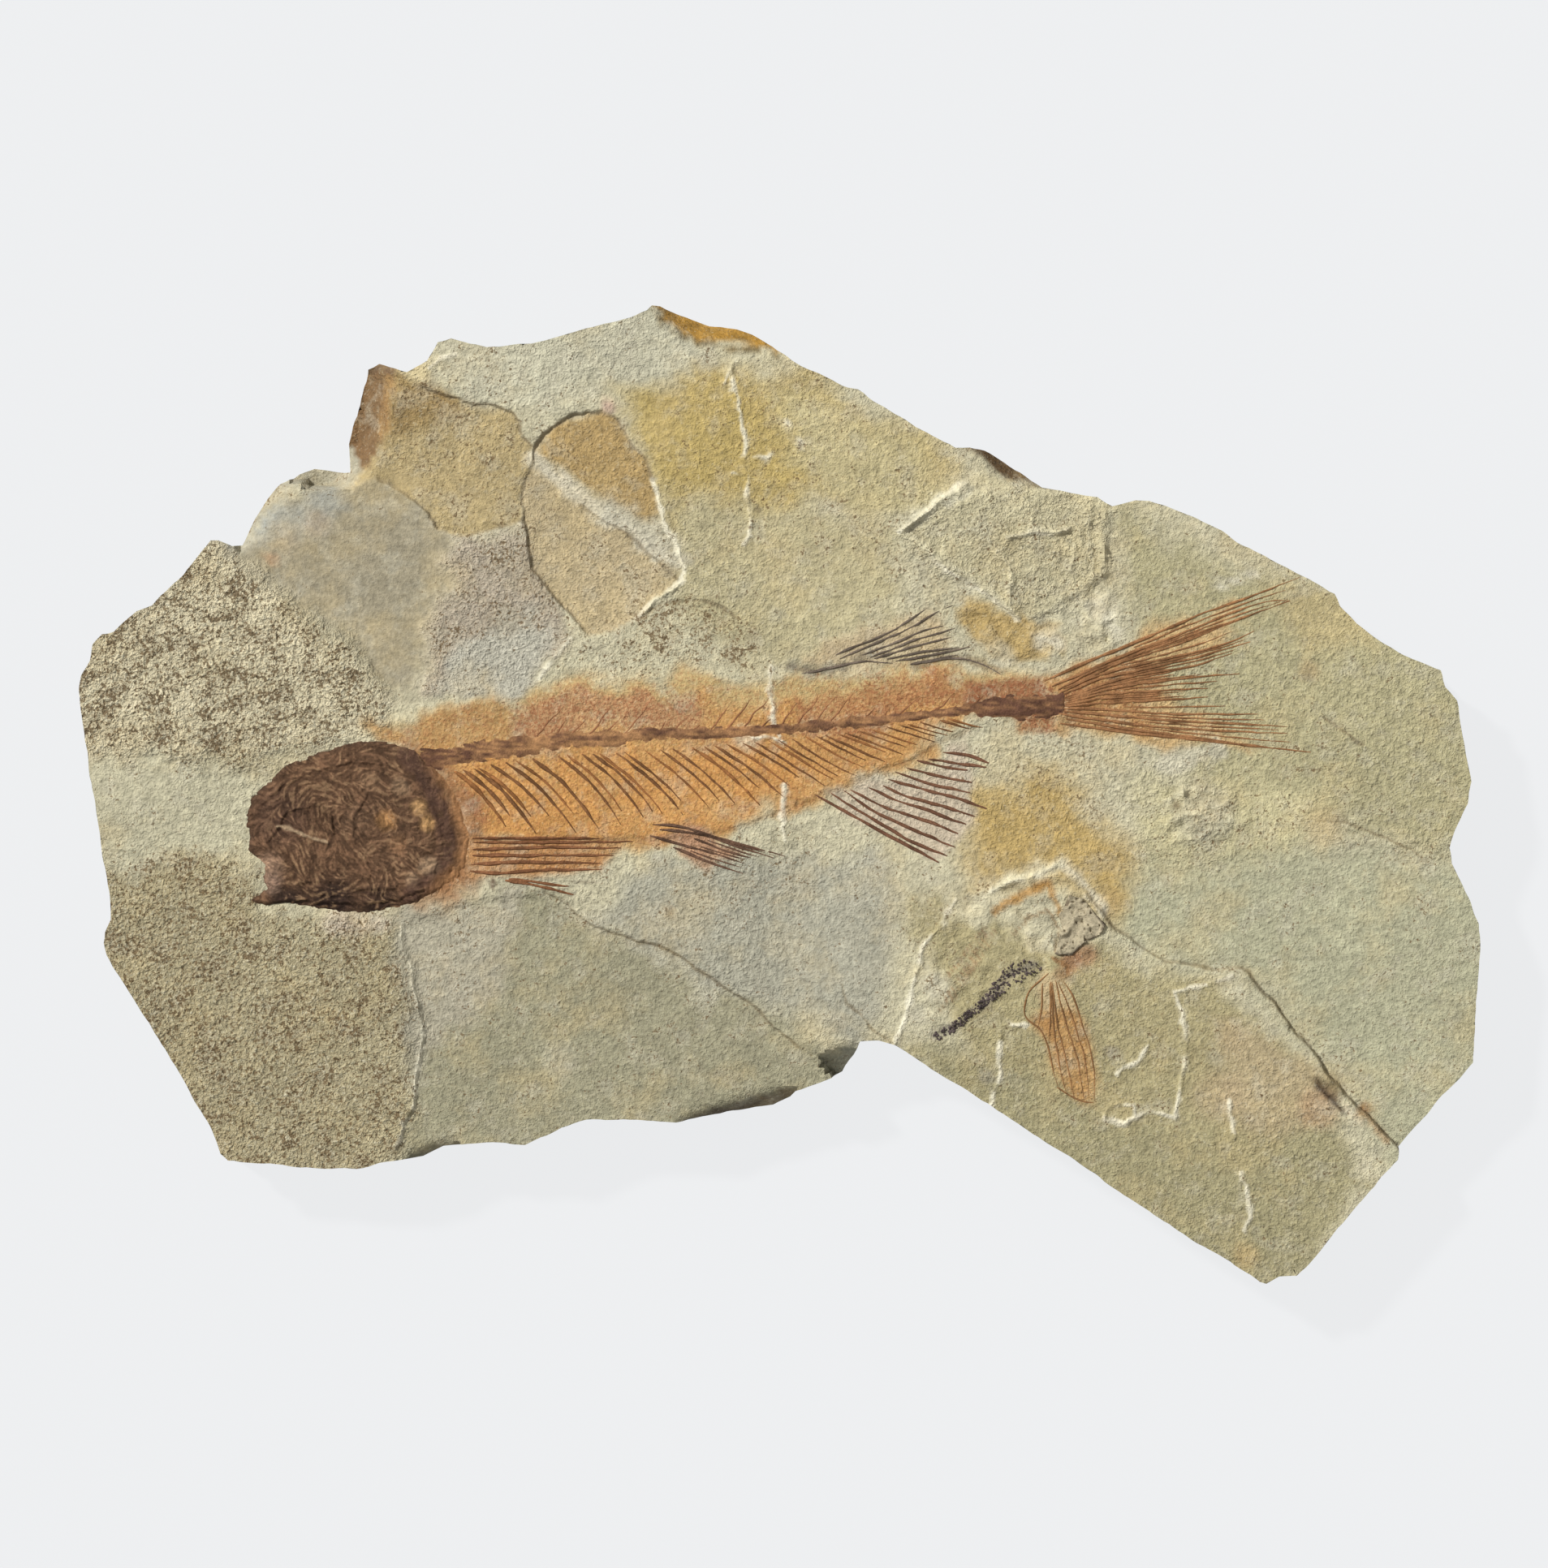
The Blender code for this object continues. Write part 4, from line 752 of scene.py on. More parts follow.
bm = cells(ragged(OUTLINE, 0.75, 0.28, 31), CELL)
FISH_AREA = [
    (29, 88), (60, 84), (128, 80), (162, 70), (164, 94), (122, 100), (118, 108), (60, 112), (30, 113),
]
raised_lines = [line for height, width, line in RIDGES]
rough_areas = [outline for outline, height, size in CRUMPLES]
seams = VEINS_AND_LIT_EDGES + CRACKS
borders = [LEAF_SCAR, BROWN_PLATE, GREY_FLOOR]
refine(bm, seams + raised_lines + borders, [FISH_AREA] + rough_areas, FINE_BAND)
refine(bm, seams + [BELLY], [], FINEST_BAND)
x, y = places(bm.verts)
for vert, height in zip(bm.verts, ground(x, y)):
    vert.co.z = height * MM

bed_draw = np.random.default_rng(41)
bed_insets = bed_draw.uniform(0.15, 0.75, SIDE_BEDS)
bed_tops = np.sort(bed_draw.uniform(0.04, 0.96, SIDE_BEDS - 1))[::-1]
bed_levels = [1.0, *bed_tops, 0.0]
border_ways = {}
for edge in bm.edges:
    if edge.is_boundary:
        run = edge.link_loops[0].vert.co - edge.link_loops[0].link_loop_next.vert.co
        for vert in edge.verts:
            border_ways.setdefault(tuple(vert.co), Vector((0, 0, 0)))
            border_ways[tuple(vert.co)] += Vector((-run.y, run.x, 0)).normalized()


def side_place(place, ring):
    """Two rings to a bed: its upper and its lower edge, pulled in by the same ragged amount."""
    bed = ring // 2
    level = bed_levels[bed] if ring % 2 == 0 else bed_levels[bed + 1]
    px, py = drawn(place.x, place.y)
    pull = bed_insets[bed] + 0.22 * float(rough(px, py, 5.0, 50 + bed, 3))
    pull += 0.10 * float(noise(px, py, 0.8, 60 + ring))
    drift = 0.0 if level in (0.0, 1.0) else 0.03 * float(noise(px, py, 9.0, 70 + bed + ring % 2))
    if ring == SIDE_BEDS * 2 - 1:
        pull = FOOT_INSET
    way = border_ways[tuple(place)].normalized()
    inward = way * -max(pull, 0.02) * MM
    height = place.z * max(0.0, min(level + drift, 1.0))
    return Vector((place.x + inward.x, place.y + inward.y, height))


wall_in(bm, SIDE_BEDS * 2, side_place)
underside = cross_cut(bm, UNDER_CELL, [max(bm.faces, key=lambda face: len(face.verts))])
below = dict.fromkeys(underside)
inner = [vert for vert in dict.fromkeys(vert for face in underside for vert in face.verts)
         if all(face in below for face in vert.link_faces)]
x, y = places(inner)
uneven = 0.45 + 0.35 * np.clip(rough(x, y, 22, 48), -1, 1) + 0.10 * rough(x, y, 4, 49)
hollow = ramp(off_line(x, y, OUTLINE + OUTLINE[:1]), 0.5, 5.0)
for vert, level in zip(inner, hollow * uneven):
    vert.co.z = max(0.0, level) * MM
slab = finished("slab_stone", bm, stone_material("mudstone"))
x, y, z = points_of(slab)
wx, wy = warped(x, y)
drift_x = wx + 1.8 * noise(x, y, 7.0, 38) + 1.2 * noise(x, y, 2.6, 42) + 0.5 * noise(x, y, 1.1, 39)
drift_y = wy + 1.8 * noise(x, y, 7.0, 40) + 1.2 * noise(x, y, 2.6, 43) + 0.5 * noise(x, y, 1.1, 41)
tint = np.tile(BASE_STONE, (len(x), 1))
for outline, colour, soft in TINTS:
    loose = soft >= 1.5
    share = within(np.where(loose, drift_x, wx), np.where(loose, drift_y, wy), outline, soft)
    tint = washed(tint, share, colour)
for (bx, by), radius, colour, strength in BLOTS:
    tint = washed(tint, strength * ramp(np.hypot(wx - bx, wy - by), radius * 1.5, radius * 0.5), colour)
for line, half, colour, strength in SMEARS:
    off = off_line(wx, wy, line) + half * 0.6 * noise(x, y, 1.1, 47)
    tint = washed(tint, strength * ramp(off, half * 1.5, half * 0.4), colour)
tint = tint * (1 + 0.05 * rough(x, y, 9, 33) + 0.05 * rough(x, y, 2.2, 34))[:, None]
seam_waver, seam_breaks = 0.16 * noise(x, y, 1.0, 45), ramp(noise(x, y, 1.6, 35), -0.6, -0.1)
# Pale calcite seams; on the lit walls of the leaf scar and the clinging bed the pale line is painted
# highlight.
for line in VEINS_AND_LIT_EDGES:
    share = 0.85 * ramp(off_line(wx, wy, line) + seam_waver, SEAM_WIDTH, 0.10) * seam_breaks
    tint = washed(tint, share, CALCITE_AND_HIGHLIGHT)
# Pale fresh breaks on the ridges; on the clinging bed's lit upper edge the pale is painted highlight.
for height, width, line in RIDGES:
    tint = washed(tint, 0.60 * ramp(off_line(wx, wy, line), width * 1.2, width * 0.2), FRESH_BREAK_AND_HIGHLIGHT)
crack_waver = 0.10 * noise(x, y, 1.4, 46)
for line in CRACKS:
    tint = washed(tint, 0.58 * ramp(off_line(wx, wy, line) + crack_waver, 0.30, 0.06), CRACK_SHADE)
tint = washed(tint, 0.25 * ramp(off_line(wx, wy, BELLY), 0.45, 0.10), BELLY_SHADE)
depth = chip_fall(wx, wy)
stain_and_shade = ramp(depth, 0.1, 0.8)
# Each chip's face takes its colour: the stone's stains on the upper chips, painted shade on the three lower
# ones.
for (cx, cy), reach, colour in CHIP_TINTS:
    tint = washed(tint, stain_and_shade * (np.hypot(x - cx, y - cy) < reach), colour)
for line, half, colour in CHIP_STREAKS:
    off = off_line(wx, wy, line) + half * 0.5 * noise(x, y, 1.2, 67)
    tint = washed(tint, 0.85 * ramp(off, half * 1.5, half * 0.5), colour)
wall_bands = (1 + 0.12 * noise(x + y, z * 9, 4.0, 36))[:, None]
tint = washed(tint, ramp(z, 8.2, 6.5) * (depth < 0.5), np.array(WALL_STONE) * wall_bands)
under_clouds = (1 + 0.12 * rough(x, y, 14, 66))[:, None]
tint = washed(tint, ramp(z, 1.2, 0.9), np.array(UNDER_STONE) * under_clouds)
marks = np.zeros((len(x), 3))
marks[:, 0] = 0.20 + 0.25 * np.clip(noise(x, y, 14, 37), 0, 1)
for outline, dense, soft in SPECKLES:
    share = within(drift_x, drift_y, outline, soft + 1.5)
    marks[:, 0] = marks[:, 0] * (1 - share) + dense * share
marks[:, 1] = 0.32 + 0.10 * noise(x, y, 11, 44)
for outline, grit, soft in GRITS:
    share = within(drift_x, drift_y, outline, soft)
    marks[:, 1] = marks[:, 1] * (1 - share) + grit * share
flesh = 0.50 * within(drift_x, drift_y, BODY, 2.0)
for outline, amount in FLESH:
    flesh = np.maximum(flesh, amount * within(drift_x, drift_y, outline, 2.2))
marks[:, 2] = flesh * ramp(z, 8.0, 9.0)
marks[z < 1.2, :2] = (0.34, 0.40)
paint(slab, "tint", np.clip(tint, 0, 1))
paint(slab, "marks", np.clip(marks, 0, 1))
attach(slab, "root")
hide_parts("stone_slab")

# Skull
# The crushed head bones of the fish, a dark brown mineral crust about a millimetre thick, with
# jaws, cheek bones and the rounded gill cover pressed flat into the stone.
SKULL = [
    (30.3, 99.9), (30.9, 98.3), (32.8, 96.4), (35.5, 94.0), (37.6, 93.2), (39.8, 92.4), (41.9, 91.8),
    (44.6, 91.2), (48.4, 91.4), (51.0, 92.3), (53.7, 94.6), (55.9, 97.2), (57.2, 99.9), (57.7, 102.1),
    (58.0, 104.2), (57.5, 106.4), (56.4, 108.2), (54.3, 109.8), (51.6, 111.2), (48.9, 112.0),
    (45.4, 112.5), (41.4, 112.5), (38.7, 112.0), (36.0, 111.6), (32.8, 111.7), (30.6, 111.2),
    (32.0, 109.9), (31.4, 108.6), (31.5, 106.4), (30.5, 104.7), (30.8, 103.1), (30.3, 101.8),
]
MOUTH = [(31.4, 105.6), (35.5, 105.6), (37.0, 107.4), (36.0, 109.6), (31.6, 109.4)]
GILL_COVER = (48.4, 102.1, 5.4)
SKULL_RIDGES = [
    (0.18, 0.30, [(34.0, 101.9), (35.4, 102.0), (36.8, 102.6), (38.4, 103.4), (40.2, 104.1)]),
    (0.30, 0.40, [(38.7, 98.6), (40.6, 100.5), (41.1, 102.6)]),
    (0.30, 0.5, [(31.2, 110.9), (36.0, 110.6), (42.0, 111.0), (48.0, 110.6), (52.0, 109.4)]),
    (0.22, 0.4, [(37.0, 108.4), (41.0, 108.2), (45.0, 109.2), (48.6, 109.0)]),
    (0.22, 0.4, [(31.6, 99.4), (34.6, 96.8), (38.6, 94.8), (43.0, 93.6)]),
    (0.20, 0.5, [(43.0, 93.6), (47.6, 94.0), (51.0, 96.2), (53.4, 99.6), (54.2, 103.6), (53.0, 107.2)]),
    (0.20, 0.35, [(41.2, 104.8), (44.0, 106.0), (45.4, 108.0)]),
    (0.20, 0.3, [(33.0, 103.6), (35.0, 100.2), (38.0, 99.2)]),
    (0.24, 0.4, [(45.0, 98.0), (43.4, 101.0), (43.6, 104.4), (45.6, 107.0)]),
]
STROKE_STEPS = 5
STROKE_STEP = 0.12
SHOULDER = [
    (50.4, 93.2), (52.6, 95.6), (53.9, 98.2), (54.8, 101.4), (55.1, 104.3), (54.6, 106.8), (53.0, 108.8),
    (50.6, 110.2),
]


def fibres(x, y):
    """Short streaks of crushed bone, -1 to 1, that lie roughly round the head and wander."""
    total = np.zeros(np.shape(x))
    for way in (-1, 1):
        px, py = np.array(x, float), np.array(y, float)
        for _ in range(STROKE_STEPS):
            turn = np.arctan2((py - 102.4) * 1.4, px - 45.6) + math.pi / 2
            turn = turn + 1.7 * noise(px, py, 3.8, 87) + 0.9 * noise(px, py, 1.3, 88)
            px = px + way * STROKE_STEP * np.cos(turn)
            py = py + way * STROKE_STEP * np.sin(turn)
            total += noise(px, py, 0.23, 85)
    return np.clip(total / math.sqrt(2 * STROKE_STEPS) * 1.1, -1, 1)


def skull_height(x, y):
    """How far the skull's crust stands above the stone, in millimetres."""
    wx, wy = warped(x, y)
    rim = off_line(x, y, SKULL + SKULL[:1])
    rise = -0.05 + 0.30 * ramp(rim, 0.0, 0.7) + 0.30 * ramp(rim, 0.4, 3.0) + 0.10 * rough(x, y, 2.4, 81)
    rise += 0.06 * rough(x, y, 0.6, 82) + 0.05 * fibres(x, y)
    for height, width, line in SKULL_RIDGES:
        rise += height * ramp(off_line(wx, wy, line), width, width * 0.2)
    gx, gy, reach = GILL_COVER
    rise += 0.16 * ramp(np.hypot(wx - gx, wy - gy), reach * 1.05, reach * 0.85)
    rise -= 0.30 * within(wx, wy, MOUTH, 0.8)
    return rise + 0.16 * ramp(off_line(wx, wy, SHOULDER), 1.4, 0.5)


def bone_material(name, fleck_colour, fleck, bump_size=0.35, roughness=0.55):
    """Mineralised bone: the painted tint, fretted with finer dark or pale flecks."""
    material = bpy.data.materials.new(name)
    material.use_nodes = True
    tree = material.node_tree
    shader = tree.nodes["Principled BSDF"]
    place = node(tree, "ShaderNodeTexCoord").outputs["Object"]
    tint = node(tree, "ShaderNodeVertexColor", layer_name="tint").outputs["Color"]
    shade = spread(tree, grain(tree, place, 0.55, 6.0, 0.7), 0.25, 0.75, 0.60, 1.40)
    colour = blended(tree, 1.0, tint, shade, "MULTIPLY")
    spots = spread(tree, grain(tree, place, bump_size, 4.0, 0.7), 0.58, 0.70, 0.0, fleck)
    colour = blended(tree, spots, colour, fleck_colour)
    tree.links.new(colour, shader.inputs["Base Color"])
    relief = grain(tree, place, bump_size, 6.0, 0.7)
    bump = node(tree, "ShaderNodeBump", {"Height": relief, "Strength": 1.0, "Distance": 0.35 * MM})
    tree.links.new(bump.outputs["Normal"], shader.inputs["Normal"])
    matt = spread(tree, relief, 0.3, 0.7, roughness - 0.1, roughness + 0.15)
    tree.links.new(matt, shader.inputs["Roughness"])
    shader.inputs["Specular IOR Level"].default_value = 0.12
    return material


CRUST_ROOT = 0.30


def crust(name, outline, cell, height, material):
    """A thin crust of fossil on the stone, whose underside is sunk just below the face."""
    bm = cells(ragged(outline, cell * 1.5, cell * 0.6, 83), cell)
    x, y = places(bm.verts)
    rise = height(x, y)
    rim = np.array([vert.is_boundary for vert in bm.verts])
    base = ground(x, y)
    for vert, level in zip(bm.verts, base + np.where(rim, -0.04, rise)):
        vert.co.z = level * MM
    wall_in(bm, 1, lambda place, ring: Vector((place.x, place.y, place.z - CRUST_ROOT * MM)))
    return finished(name, bm, material)


BROWN_BONE = (0.158, 0.086, 0.047)
LIT_BONE = (0.360, 0.225, 0.120)
DARK_BONE = (0.100, 0.052, 0.036)
PALE_BONE = (0.520, 0.370, 0.225)
ORANGE_BONE = (0.430, 0.215, 0.090)
BLACK_BONE = (0.060, 0.035, 0.024)
skull_finish = bone_material("skull_bone", (0.330, 0.205, 0.110), 0.30)
skull = crust("skull_crust", SKULL, 0.115, skull_height, skull_finish)
x, y, z = points_of(skull)
wx, wy = warped(x, y)
tint = np.tile(BROWN_BONE, (len(x), 1))
# Patches of the head: the middle, the radius, the colour and the strength.
SKULL_TINTS = [
    ((34.5, 100.5), 3.8, (0.102, 0.056, 0.036), 0.7), ((41.0, 111.0), 3.2, (0.036, 0.021, 0.016), 0.9),
    ((35.4, 111.1), 2.4, (0.034, 0.020, 0.015), 0.9), ((46.6, 110.9), 2.4, (0.046, 0.026, 0.018), 0.8),
    ((47.6, 101.2), 1.3, (0.480, 0.250, 0.095), 0.7), ((51.6, 99.4), 1.1, (0.560, 0.330, 0.140), 0.8),
    ((52.7, 101.4), 1.1, (0.520, 0.300, 0.120), 0.8), ((45.4, 96.4), 1.2, (0.300, 0.180, 0.100), 0.5),
    ((48.9, 104.2), 1.2, (0.340, 0.180, 0.085), 0.5), ((53.0, 106.6), 1.2, (0.480, 0.330, 0.200), 0.7),
    ((51.0, 108.4), 1.0, (0.450, 0.300, 0.180), 0.6), ((33.0, 106.8), 1.7, (0.400, 0.255, 0.165), 0.75),
    ((33.6, 108.8), 1.3, (0.330, 0.215, 0.150), 0.7), ((47.0, 106.4), 3.0, (0.190, 0.105, 0.058), 0.5),
    ((44.0, 101.0), 2.2, (0.170, 0.100, 0.058), 0.5), ((49.4, 97.0), 1.2, (0.360, 0.240, 0.140), 0.5),
]
for (bx, by), radius, colour, strength in SKULL_TINTS:
    tint = washed(tint, strength * ramp(np.hypot(wx - bx, wy - by), radius * 1.4, radius * 0.4), colour)
streak = fibres(x, y)
# The streaky bone is painted darker in the fibres' grooves and lighter on their crests, painted shade and
# light over its own streaks; the tan strokes on the crests are a painted highlight.
tint = tint * (0.70 + 0.62 * ramp(streak, -0.6, 0.6))[:, None]
lit = ramp(streak + 0.60 * noise(x, y, 2.2, 104), 0.60, 1.10) * ramp(x, 31, 37)
tint = washed(tint, 0.60 * lit, LIT_BONE)
shoulder = ramp(off_line(wx, wy, SHOULDER), 1.7, 0.7) * ramp(noise(x, y, 1.2, 105), -0.9, -0.3)
tint = washed(tint, 0.72 * shoulder, DARK_BONE)
upper_jaw = ramp(off_line(wx, wy, SKULL_RIDGES[0][2]) + 0.12 * noise(x, y, 0.9, 109), 0.30, 0.05)
tint = washed(tint, 0.80 * upper_jaw, PALE_BONE)
rim = off_line(x, y, SKULL + SKULL[:1])
rear_edge = ramp(rim + 0.45 * noise(x, y, 0.8, 106), 2.2, 0.4) * ramp(x, 51, 56)
tint = washed(tint, 0.90 * rear_edge, ORANGE_BONE)
tint = washed(tint, 0.6 * ramp(rim, 0.8, 0.1) * ramp(x, 50, 44), BLACK_BONE)
tint = tint * (1 + 0.18 * rough(x, y, 1.5, 84))[:, None]
paint(skull, "tint", np.clip(tint, 0.01, 1))
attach(skull, "root")
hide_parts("skull")

# Backbone and ribs
# A string of flattened vertebrae runs from the neck to the tail, with thin ribs sweeping back
# below it and short spines above it. All are thin brown mineral films.
BACKBONE = [
    (51.6, 93.6, 1.2), (55.2, 93.4, 1.3), (60.0, 92.4, 1.2), (64.0, 92.0, 1.15), (70.0, 91.2, 1.0),
    (74.0, 91.1, 0.95), (80.0, 90.6, 0.8), (86.0, 90.3, 0.7), (92.0, 90.1, 0.6), (97.0, 89.8, 0.6),
    (101.2, 89.4, 0.7), (105.0, 89.0, 0.8), (110.4, 88.5, 0.6), (115.0, 88.0, 0.5), (117.7, 87.7, 0.6),
    (120.0, 87.3, 0.9), (125.6, 87.1, 1.4), (129.6, 86.9, 1.4), (131.3, 86.7, 1.0),
]
VERTEBRA = 1.7
# Ribs at ten places along the body; the others lie evenly between them.
KEY_RIBS = [
    [(56.0, 95.0), (58.8, 97.2), (61.4, 100.4), (63.0, 103.0)],
    [(60.5, 94.2), (64.2, 96.6), (67.4, 100.1), (69.4, 102.8)],
    [(69.5, 93.0), (72.9, 95.6), (75.6, 98.8), (77.2, 101.6)],
    [(75.4, 92.8), (79.0, 95.4), (82.0, 98.2), (83.6, 100.4)],
    [(84.1, 92.2), (88.0, 95.0), (91.0, 98.0), (92.4, 99.6)],
    [(91.0, 91.6), (95.0, 93.8), (98.4, 96.2), (100.0, 97.4)],
    [(97.6, 91.0), (100.9, 93.2), (104.2, 95.0), (106.2, 95.8)],
    [(103.4, 90.4), (107.4, 91.9), (110.2, 93.0), (111.8, 93.7)],
    [(110.0, 89.4), (113.0, 90.4), (116.0, 91.2), (117.5, 91.5)],
    [(117.0, 88.6), (119.4, 89.3), (121.6, 89.8), (123.0, 90.0)],
]
RIB_COUNT = 40
RIB_BROWN = (0.240, 0.112, 0.046)
RIB_RUST = (0.360, 0.158, 0.056)
SPINE_COUNT = 26
SPINE_BROWN = (0.330, 0.150, 0.070)
SPINE_ROOTS = [(66.0, 91.0), (80.0, 90.4), (96.0, 89.8), (119.0, 87.4)]
SPINE_TIPS = [(69.6, 86.6), (84.0, 86.2), (99.6, 85.0), (123.0, 84.4)]


def along(line, share):
    """The point at a share of a drawn line's length."""
    steps = [math.dist(a[:2], b[:2]) for a, b in zip(line, line[1:])]
    left = share * sum(steps)
    for a, b, step in zip(line, line[1:], steps):
        if left <= step + 1e-9:
            return tuple(p + (q - p) * left / step for p, q in zip(a, b))
        left -= step
    return line[-1]


def curved(line, step=0.55, wobble=0.06, seed=90):
    """A drawn line as a smooth path with a point every step or so and a slight waver."""
    count = max(4, round(sum(math.dist(a, b) for a, b in zip(line, line[1:])) / step))
    points = [along(line, i / count) for i in range(count + 1)]
    for _ in range(3):
        trios = zip(points, points[1:], points[2:])
        inner = [tuple((a + 2 * b + c) / 4 for a, b, c in zip(*trio)) for trio in trios]
        points = [points[0], *inner, points[-1]]
    x, y = np.array(points).T
    x = x + wobble * noise(x, y, 1.3, seed)
    y = y + wobble * noise(x, y, 1.3, seed + 1)
    return list(zip(x, y))


def rod(line, root, tip):
    """A thin bone along a line as a mesh, with its widths at the root and the tip."""
    curve = bpy.data.curves.new("rod", "CURVE")
    curve.dimensions = "3D"
    curve.bevel_depth = MM
    curve.bevel_resolution = 1
    curve.use_fill_caps = True
    curve.resolution_u = 1
    x, y = np.array(line).T
    share = np.linspace(0, 1, len(x))
    patchy = 0.72 + 0.42 * ramp(noise(x, y, 1.1, 91), -0.7, 0.2)
    taper = np.minimum(1, 0.35 + 3.2 * np.minimum(share * 1.6, 1 - share))
    spline = curve.splines.new("POLY")
    spline.points.add(len(x) - 1)
    for knot, px, py, width in zip(spline.points, x, y, (root + (tip - root) * share) * patchy * taper):
        knot.co = (*spot(px, py), 0.0, 1.0)
        knot.radius = max(width, 0.03) / 2
    holder = bpy.data.objects.new("rod", curve)
    bpy.context.scene.collection.objects.link(holder)
    bpy.context.view_layer.update()
    mesh = bpy.data.meshes.new_from_object(holder)
    bpy.data.objects.remove(holder, do_unlink=True)
    bpy.data.curves.remove(curve)
    return mesh


def settled(bones):
    """Lays thin bones flattened on the stone. Each is a line, its width at the root and at the
    tip, how far its top stands up, and a tint."""
    bm = bmesh.new()
    tint_layer = bm.verts.layers.float_color.new("tint")
    for line, root, tip, height, colour in bones:
        mesh = rod(line, root, tip)
        start = len(bm.verts)
        bm.from_mesh(mesh)
        bpy.data.meshes.remove(mesh)
        bm.verts.ensure_lookup_table()
        fresh = bm.verts[start:]
        x, y = places(fresh)
        half = max(root, tip) / 2
        shade = 1 + 0.35 * noise(x, y, 1.4, 92) + 0.15 * noise(x, y, 0.5, 93)
        sunk = 0.3 * height * ramp(noise(x, y, 1.3, 108), 0.30, 0.80)
        for vert, base, light in zip(fresh, ground(x, y) - sunk, shade):
            vert.co.z = (base + vert.co.z / MM / half * height) * MM
            vert[tint_layer] = (*(channel * light for channel in colour), 1.0)
    bmesh.ops.remove_doubles(bm, verts=bm.verts, dist=1e-8)
    return bm


def between(line, other, share, steps):
    """A line that runs between two drawn lines, at a share of the way across."""
    pairs = [(along(line, step), along(other, step)) for step in steps]
    return [tuple(p + (q - p) * share for p, q in zip(near, far)) for near, far in pairs]


def rib(at):
    """A rib's line at a place along the row, 0 to 9, between the two key ribs beside it."""
    first = min(int(at), len(KEY_RIBS) - 2)
    share = at - first
    end = (0.88 + 0.12 * math.sin(at * 17.0)) * float(np.interp(at, [5.5, 9], [1.0, 0.7]))
    steps = (0.0, 0.2 * end, 0.4 * end, 0.6 * end, 0.8 * end, end)
    return between(KEY_RIBS[first], KEY_RIBS[first + 1], share, steps)


rib_draw = np.random.default_rng(107)
ribs = []
for i in range(RIB_COUNT):
    at = 9 * i / (RIB_COUNT - 1) + (rib_draw.uniform(-0.07, 0.07) if 0 < i < RIB_COUNT - 1 else 0)
    weight = rib_draw.uniform(0.75, 1.15) * float(np.interp(at, [0, 2, 4, 7], [1.45, 1.15, 0.95, 0.75]))
    brown = RIB_BROWN if i % 3 else RIB_RUST
    ribs.append((curved(rib(at), seed=110 + i), 0.42 * weight, 0.26 * weight, 0.20, brown))
for i in range(SPINE_COUNT):
    reach = rib_draw.uniform(0.15, 1.0)
    root, tip = along(SPINE_ROOTS, i / (SPINE_COUNT - 1)), along(SPINE_TIPS, i / (SPINE_COUNT - 1))
    line = curved([root, along([root, tip], reach)], wobble=0.25, seed=150 + i)
    ribs.append((line, 0.24, 0.10, 0.06, SPINE_BROWN))
bm = settled(ribs)
ribs_mesh = bpy.data.meshes.new("ribs")
bm.to_mesh(ribs_mesh)
bm.free()

FILM_ORANGE = (0.520, 0.275, 0.120)
SPINE_DARK = (0.150, 0.072, 0.044)
# How much dark bone is left on the orange film, at places along the fish.
BONE_LEFT = [
    (50, 1.0), (57, 0.78), (61, 0.28), (76, 0.34), (86, 0.34), (94, 0.20), (100, 0.40), (108, 0.43),
    (118, 0.55), (122, 0.92), (132, 0.92),
]
WIDER = 1.35
upper_edge = [(x, y - half * WIDER) for x, y, half in BACKBONE]
lower_edge = [(x, y + half * WIDER) for x, y, half in BACKBONE]


def backbone_streaks(x, off):
    """Fine streaks that run along the bones, from their place and how far off the middle they lie."""
    return noise(x / 2.2, off / 0.24, 1, 95) + 0.7 * noise(x / 0.7, off / 0.30, 1, 101)


def backbone_run(x):
    """The height on the drawing of the backbone's middle line, and its half width."""
    at, middle, half = zip(*BACKBONE)
    return np.interp(x, at, middle), np.interp(x, at, half)


def backbone_height(x, y):
    """A ragged band that dips under the stone wherever the bone has crumbled away."""
    middle, half = backbone_run(x)
    across = np.clip(np.abs(y - middle) / half + 0.40 * noise(x, y, 0.9, 123) * ramp(x, 56, 68), 0, 1.6)
    bead = 0.5 + 0.5 * np.cos(x / VERTEBRA * 2 * math.pi)
    return np.maximum(0.13 + 0.05 * bead - 0.17 * across ** 2 + 0.09 * backbone_streaks(x, y - middle), -0.12)


def joined(piece, extra):
    """Adds another mesh's faces to a piece, keeping the painted tints."""
    bm = bmesh.new()
    bm.from_mesh(piece.data)
    bm.from_mesh(extra)
    bm.to_mesh(piece.data)
    bm.free()
    piece.data.shade_smooth()
    bpy.data.meshes.remove(extra)


spine_finish = bone_material("spine_bone", (0.450, 0.240, 0.110), 0.35, 0.3, 0.6)
backbone = crust("backbone", upper_edge + lower_edge[::-1], 0.3, backbone_height, spine_finish)
x, y, z = points_of(backbone)
bone_share = np.interp(x, *zip(*BONE_LEFT))
middle, half = backbone_run(x)
twin_lines = ramp(np.abs(np.abs(y - middle) / half - 0.55), 0.35, 0.10) * ramp(x, 78, 84) * ramp(x, 120, 114)
bone_share = np.clip(bone_share + 0.55 * backbone_streaks(x, y - middle) + 0.35 * twin_lines, 0, 1)[:, None]
tint = np.array(FILM_ORANGE) * (1 - bone_share) + np.array(SPINE_DARK) * bone_share
tint = tint * (1 + 0.20 * rough(x, y, 1.6, 96))[:, None]
paint(backbone, "tint", np.clip(tint, 0.01, 1))
joined(backbone, ribs_mesh)
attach(backbone, "root")
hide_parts("backbone_and_ribs")

